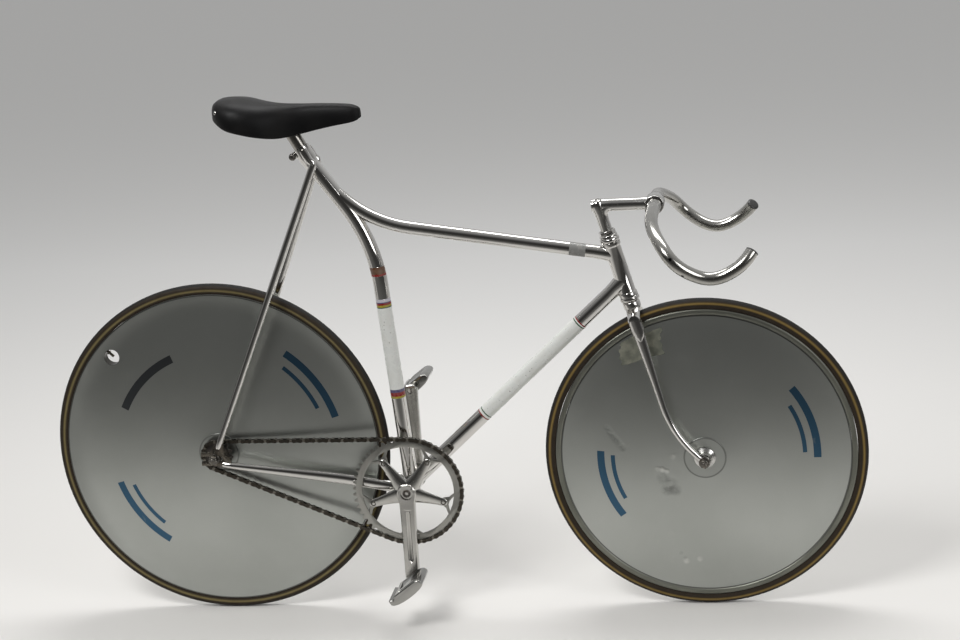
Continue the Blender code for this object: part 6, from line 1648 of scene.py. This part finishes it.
PEDAL_SIDE = (
    (-0.0385, 0.004), (-0.0378, 0.008), (-0.035, 0.0086), (-0.0325, 0.006), (-0.03, 0.004), (-0.0265, 0.0046),
    (-0.0235, 0.008), (-0.0205, 0.0096), (0.026, 0.01), (0.032, 0.0088), (0.0368, 0.0056), (0.0392, 0.0012),
    (0.0388, -0.0032), (0.035, -0.0068), (0.027, -0.0094), (0.015, -0.0112), (0.0, -0.0118), (-0.015, -0.0112),
    (-0.027, -0.0092), (-0.035, -0.0062), (-0.0388, -0.0022))


class BICYCLE_OT_pedals(Operator):
    """Models the two aerodynamic pedals with their slotted decks"""
    bl_idname = "bicycle.pedals"
    bl_label = "Pedals"

    def execute(self, context):
        alloy = alloy_finish("pedal_alloy", (0.42, 0.415, 0.395), 0.08)
        ahead, up = Vector((0.809, 0.0, 0.588)), Vector((-0.588, 0.0, 0.809))
        for side, sign in SIDES:
            eye = CRANK_AXIS + Vector((0.0, 0.0, sign * CRANK_LENGTH))
            outline = [eye + ahead * along + up * rise for along, rise in PEDAL_SIDE]
            piece = plate("pedal_polished_" + side, outline, 0.066, sign * 0.1105)
            bevel(piece, 0.0024, 4, 60.0)
            for near, far in ((0.133, 0.139), (0.084, 0.127)):
                middle = eye + LEFT * (sign * (near + far) / 2) + up * 0.0115
                half = (far - near) / 2
                slot = [middle + ahead * reach for reach in (-0.012, -0.01, 0.027, 0.029)]
                sizes = [(half - 0.001, 0.0035), (half, 0.004), (half, 0.004), (half - 0.001, 0.0035)]
                cut(piece, tube("pedal_slot", slot, sizes, 24))
            cut(piece, turned("pedal_bore", to_side(rod(0.006, 0.06, 0.135), sign), eye, LEFT, 32))
            dress(piece, alloy, "pedal_" + side, ["pedal_" + side], 40.0)
        return {"FINISHED"}


# Stage

class BICYCLE_OT_stage(Operator):
    """Sets the floor, the lights and the camera"""
    bl_idname = "bicycle.stage"
    bl_label = "Studio"

    def execute(self, context):
        settings = context.scene.bicycle_stage
        rest()
        bpy.ops.mesh.primitive_plane_add(size=120.0, location=(0.3, 0.0, GROUND - 0.0004))
        floor = context.object
        floor.name = "floor"
        finish = Finish("floor_with_painted_shade_and_light")
        tone = finish.noise(0.8, 2.0)
        colour = tuple(settings.floor)
        paler = tuple(min(1.0, channel * 1.03) for channel in colour)
        # Painted shade and light: the floor is painted dark on the camera's side, so that metal reflects dark there. It
        # is painted paler far behind the object, where the lamps' light falls off.
        near = finish.spread(finish.y, -1.3, -0.22)
        far = finish.spread(finish.y, 0.3, 3.0)
        pale = finish.mix(finish.mix(colour, paler, tone), (0.93, 0.925, 0.91), far)
        finish.set(Roughness=0.75, Base_Color=finish.mix((0.09, 0.088, 0.083), pale, near))
        floor.data.materials.append(finish.material)
        self.world()
        middle = Vector((0.34, 0.0, -0.55))
        power = settings.key
        self.light("key", middle + Vector((-1.3, -2.2, 2.7)), middle, (1.5, 1.1), power)
        self.light("fill", middle + Vector((2.6, -1.9, 1.2)), middle, (1.4, 1.4), power * 0.3)
        self.light("top", middle + Vector((0.2, 0.9, 2.6)), middle, (2.6, 0.9), power * 0.55)
        self.camera()
        context.scene.view_settings.view_transform = "Standard"
        return {"FINISHED"}

    def light(self, name, place, target, size, power):
        bpy.ops.object.light_add(type="AREA", location=place)
        lamp = bpy.context.object
        lamp.name = name
        lamp.data.shape = "RECTANGLE"
        lamp.data.size, lamp.data.size_y = size
        lamp.data.energy = power
        lamp.rotation_mode = "QUATERNION"
        lamp.rotation_quaternion = (target - place).to_track_quat("-Z", "Y")
        rest()

    def world(self):
        """Soft surroundings: pale above and behind the object, dark on the camera's side."""
        world = bpy.data.worlds.new("studio")
        bpy.context.scene.world = world
        world.use_nodes = True
        nodes, links = world.node_tree.nodes, world.node_tree.links
        background = nodes["Background"]
        coordinates = nodes.new("ShaderNodeTexCoord")
        lean = nodes.new("ShaderNodeVectorMath")
        lean.operation = "DOT_PRODUCT"
        links.new(coordinates.outputs["Generated"], lean.inputs[0])
        lean.inputs[1].default_value = (0.0, 0.62, 0.55)
        share = nodes.new("ShaderNodeMath")
        links.new(lean.outputs["Value"], share.inputs[0])
        share.inputs[1].default_value = 0.33
        ramp = nodes.new("ShaderNodeValToRGB")
        ramp.color_ramp.elements[0].color = (0.055, 0.054, 0.052, 1.0)
        ramp.color_ramp.elements[1].color = (0.72, 0.72, 0.72, 1.0)
        links.new(share.outputs[0], ramp.inputs[0])
        links.new(ramp.outputs[0], background.inputs["Color"])
        background.inputs["Strength"].default_value = 0.75

    def camera(self):
        bpy.ops.object.camera_add(location=VIEWPOINT)
        camera = bpy.context.object
        right = Vector((0.9873, 0.14224, -0.07071))
        up = Vector((0.03078, 0.26545, 0.96363))
        back = Vector((0.15583, -0.95358, 0.2577))
        camera.rotation_mode = "QUATERNION"
        camera.rotation_quaternion = Matrix((right, up, back)).transposed().to_quaternion()
        camera.data.sensor_width = 36.0
        camera.data.lens = 71.0
        camera.data.clip_end = 200.0
        bpy.context.scene.camera = camera
        rest()


class BICYCLE_PT_looks(Panel):
    """Lists the steps that make the bicycle's looks"""
    bl_label = "Track bicycle"
    bl_space_type = "VIEW_3D"
    bl_region_type = "UI"
    bl_category = "Bicycle"

    def draw(self, context):
        scene = context.scene
        for group in (scene.bicycle_tubes, scene.bicycle_wheels, scene.bicycle_stage):
            for key in group.bl_rna.properties.keys():
                if key not in ("rna_type", "name"):
                    self.layout.prop(group, key)
        for step in STEPS:
            self.layout.operator(step.bl_idname)


STEPS = (
    BICYCLE_OT_tubes, BICYCLE_OT_stays, BICYCLE_OT_fork, BICYCLE_OT_bars, BICYCLE_OT_saddle, BICYCLE_OT_wheels,
    BICYCLE_OT_gear, BICYCLE_OT_cranks, BICYCLE_OT_pedals, BICYCLE_OT_stage)
GROUPS = (("bicycle_tubes", TubeSettings), ("bicycle_wheels", WheelSettings), ("bicycle_stage", StageSettings))


def register():
    for name, group in GROUPS:
        bpy.utils.register_class(group)
        setattr(bpy.types.Scene, name, PointerProperty(type=group))
    for step in STEPS + (BICYCLE_PT_looks,):
        bpy.utils.register_class(step)


def unregister():
    for step in reversed(STEPS + (BICYCLE_PT_looks,)):
        bpy.utils.unregister_class(step)
    for name, group in reversed(GROUPS):
        delattr(bpy.types.Scene, name)
        bpy.utils.unregister_class(group)


def main():
    register()
    for step in STEPS:
        family, name = step.bl_idname.split(".")
        getattr(getattr(bpy.ops, family), name)()


if __name__ == "__main__":
    main()
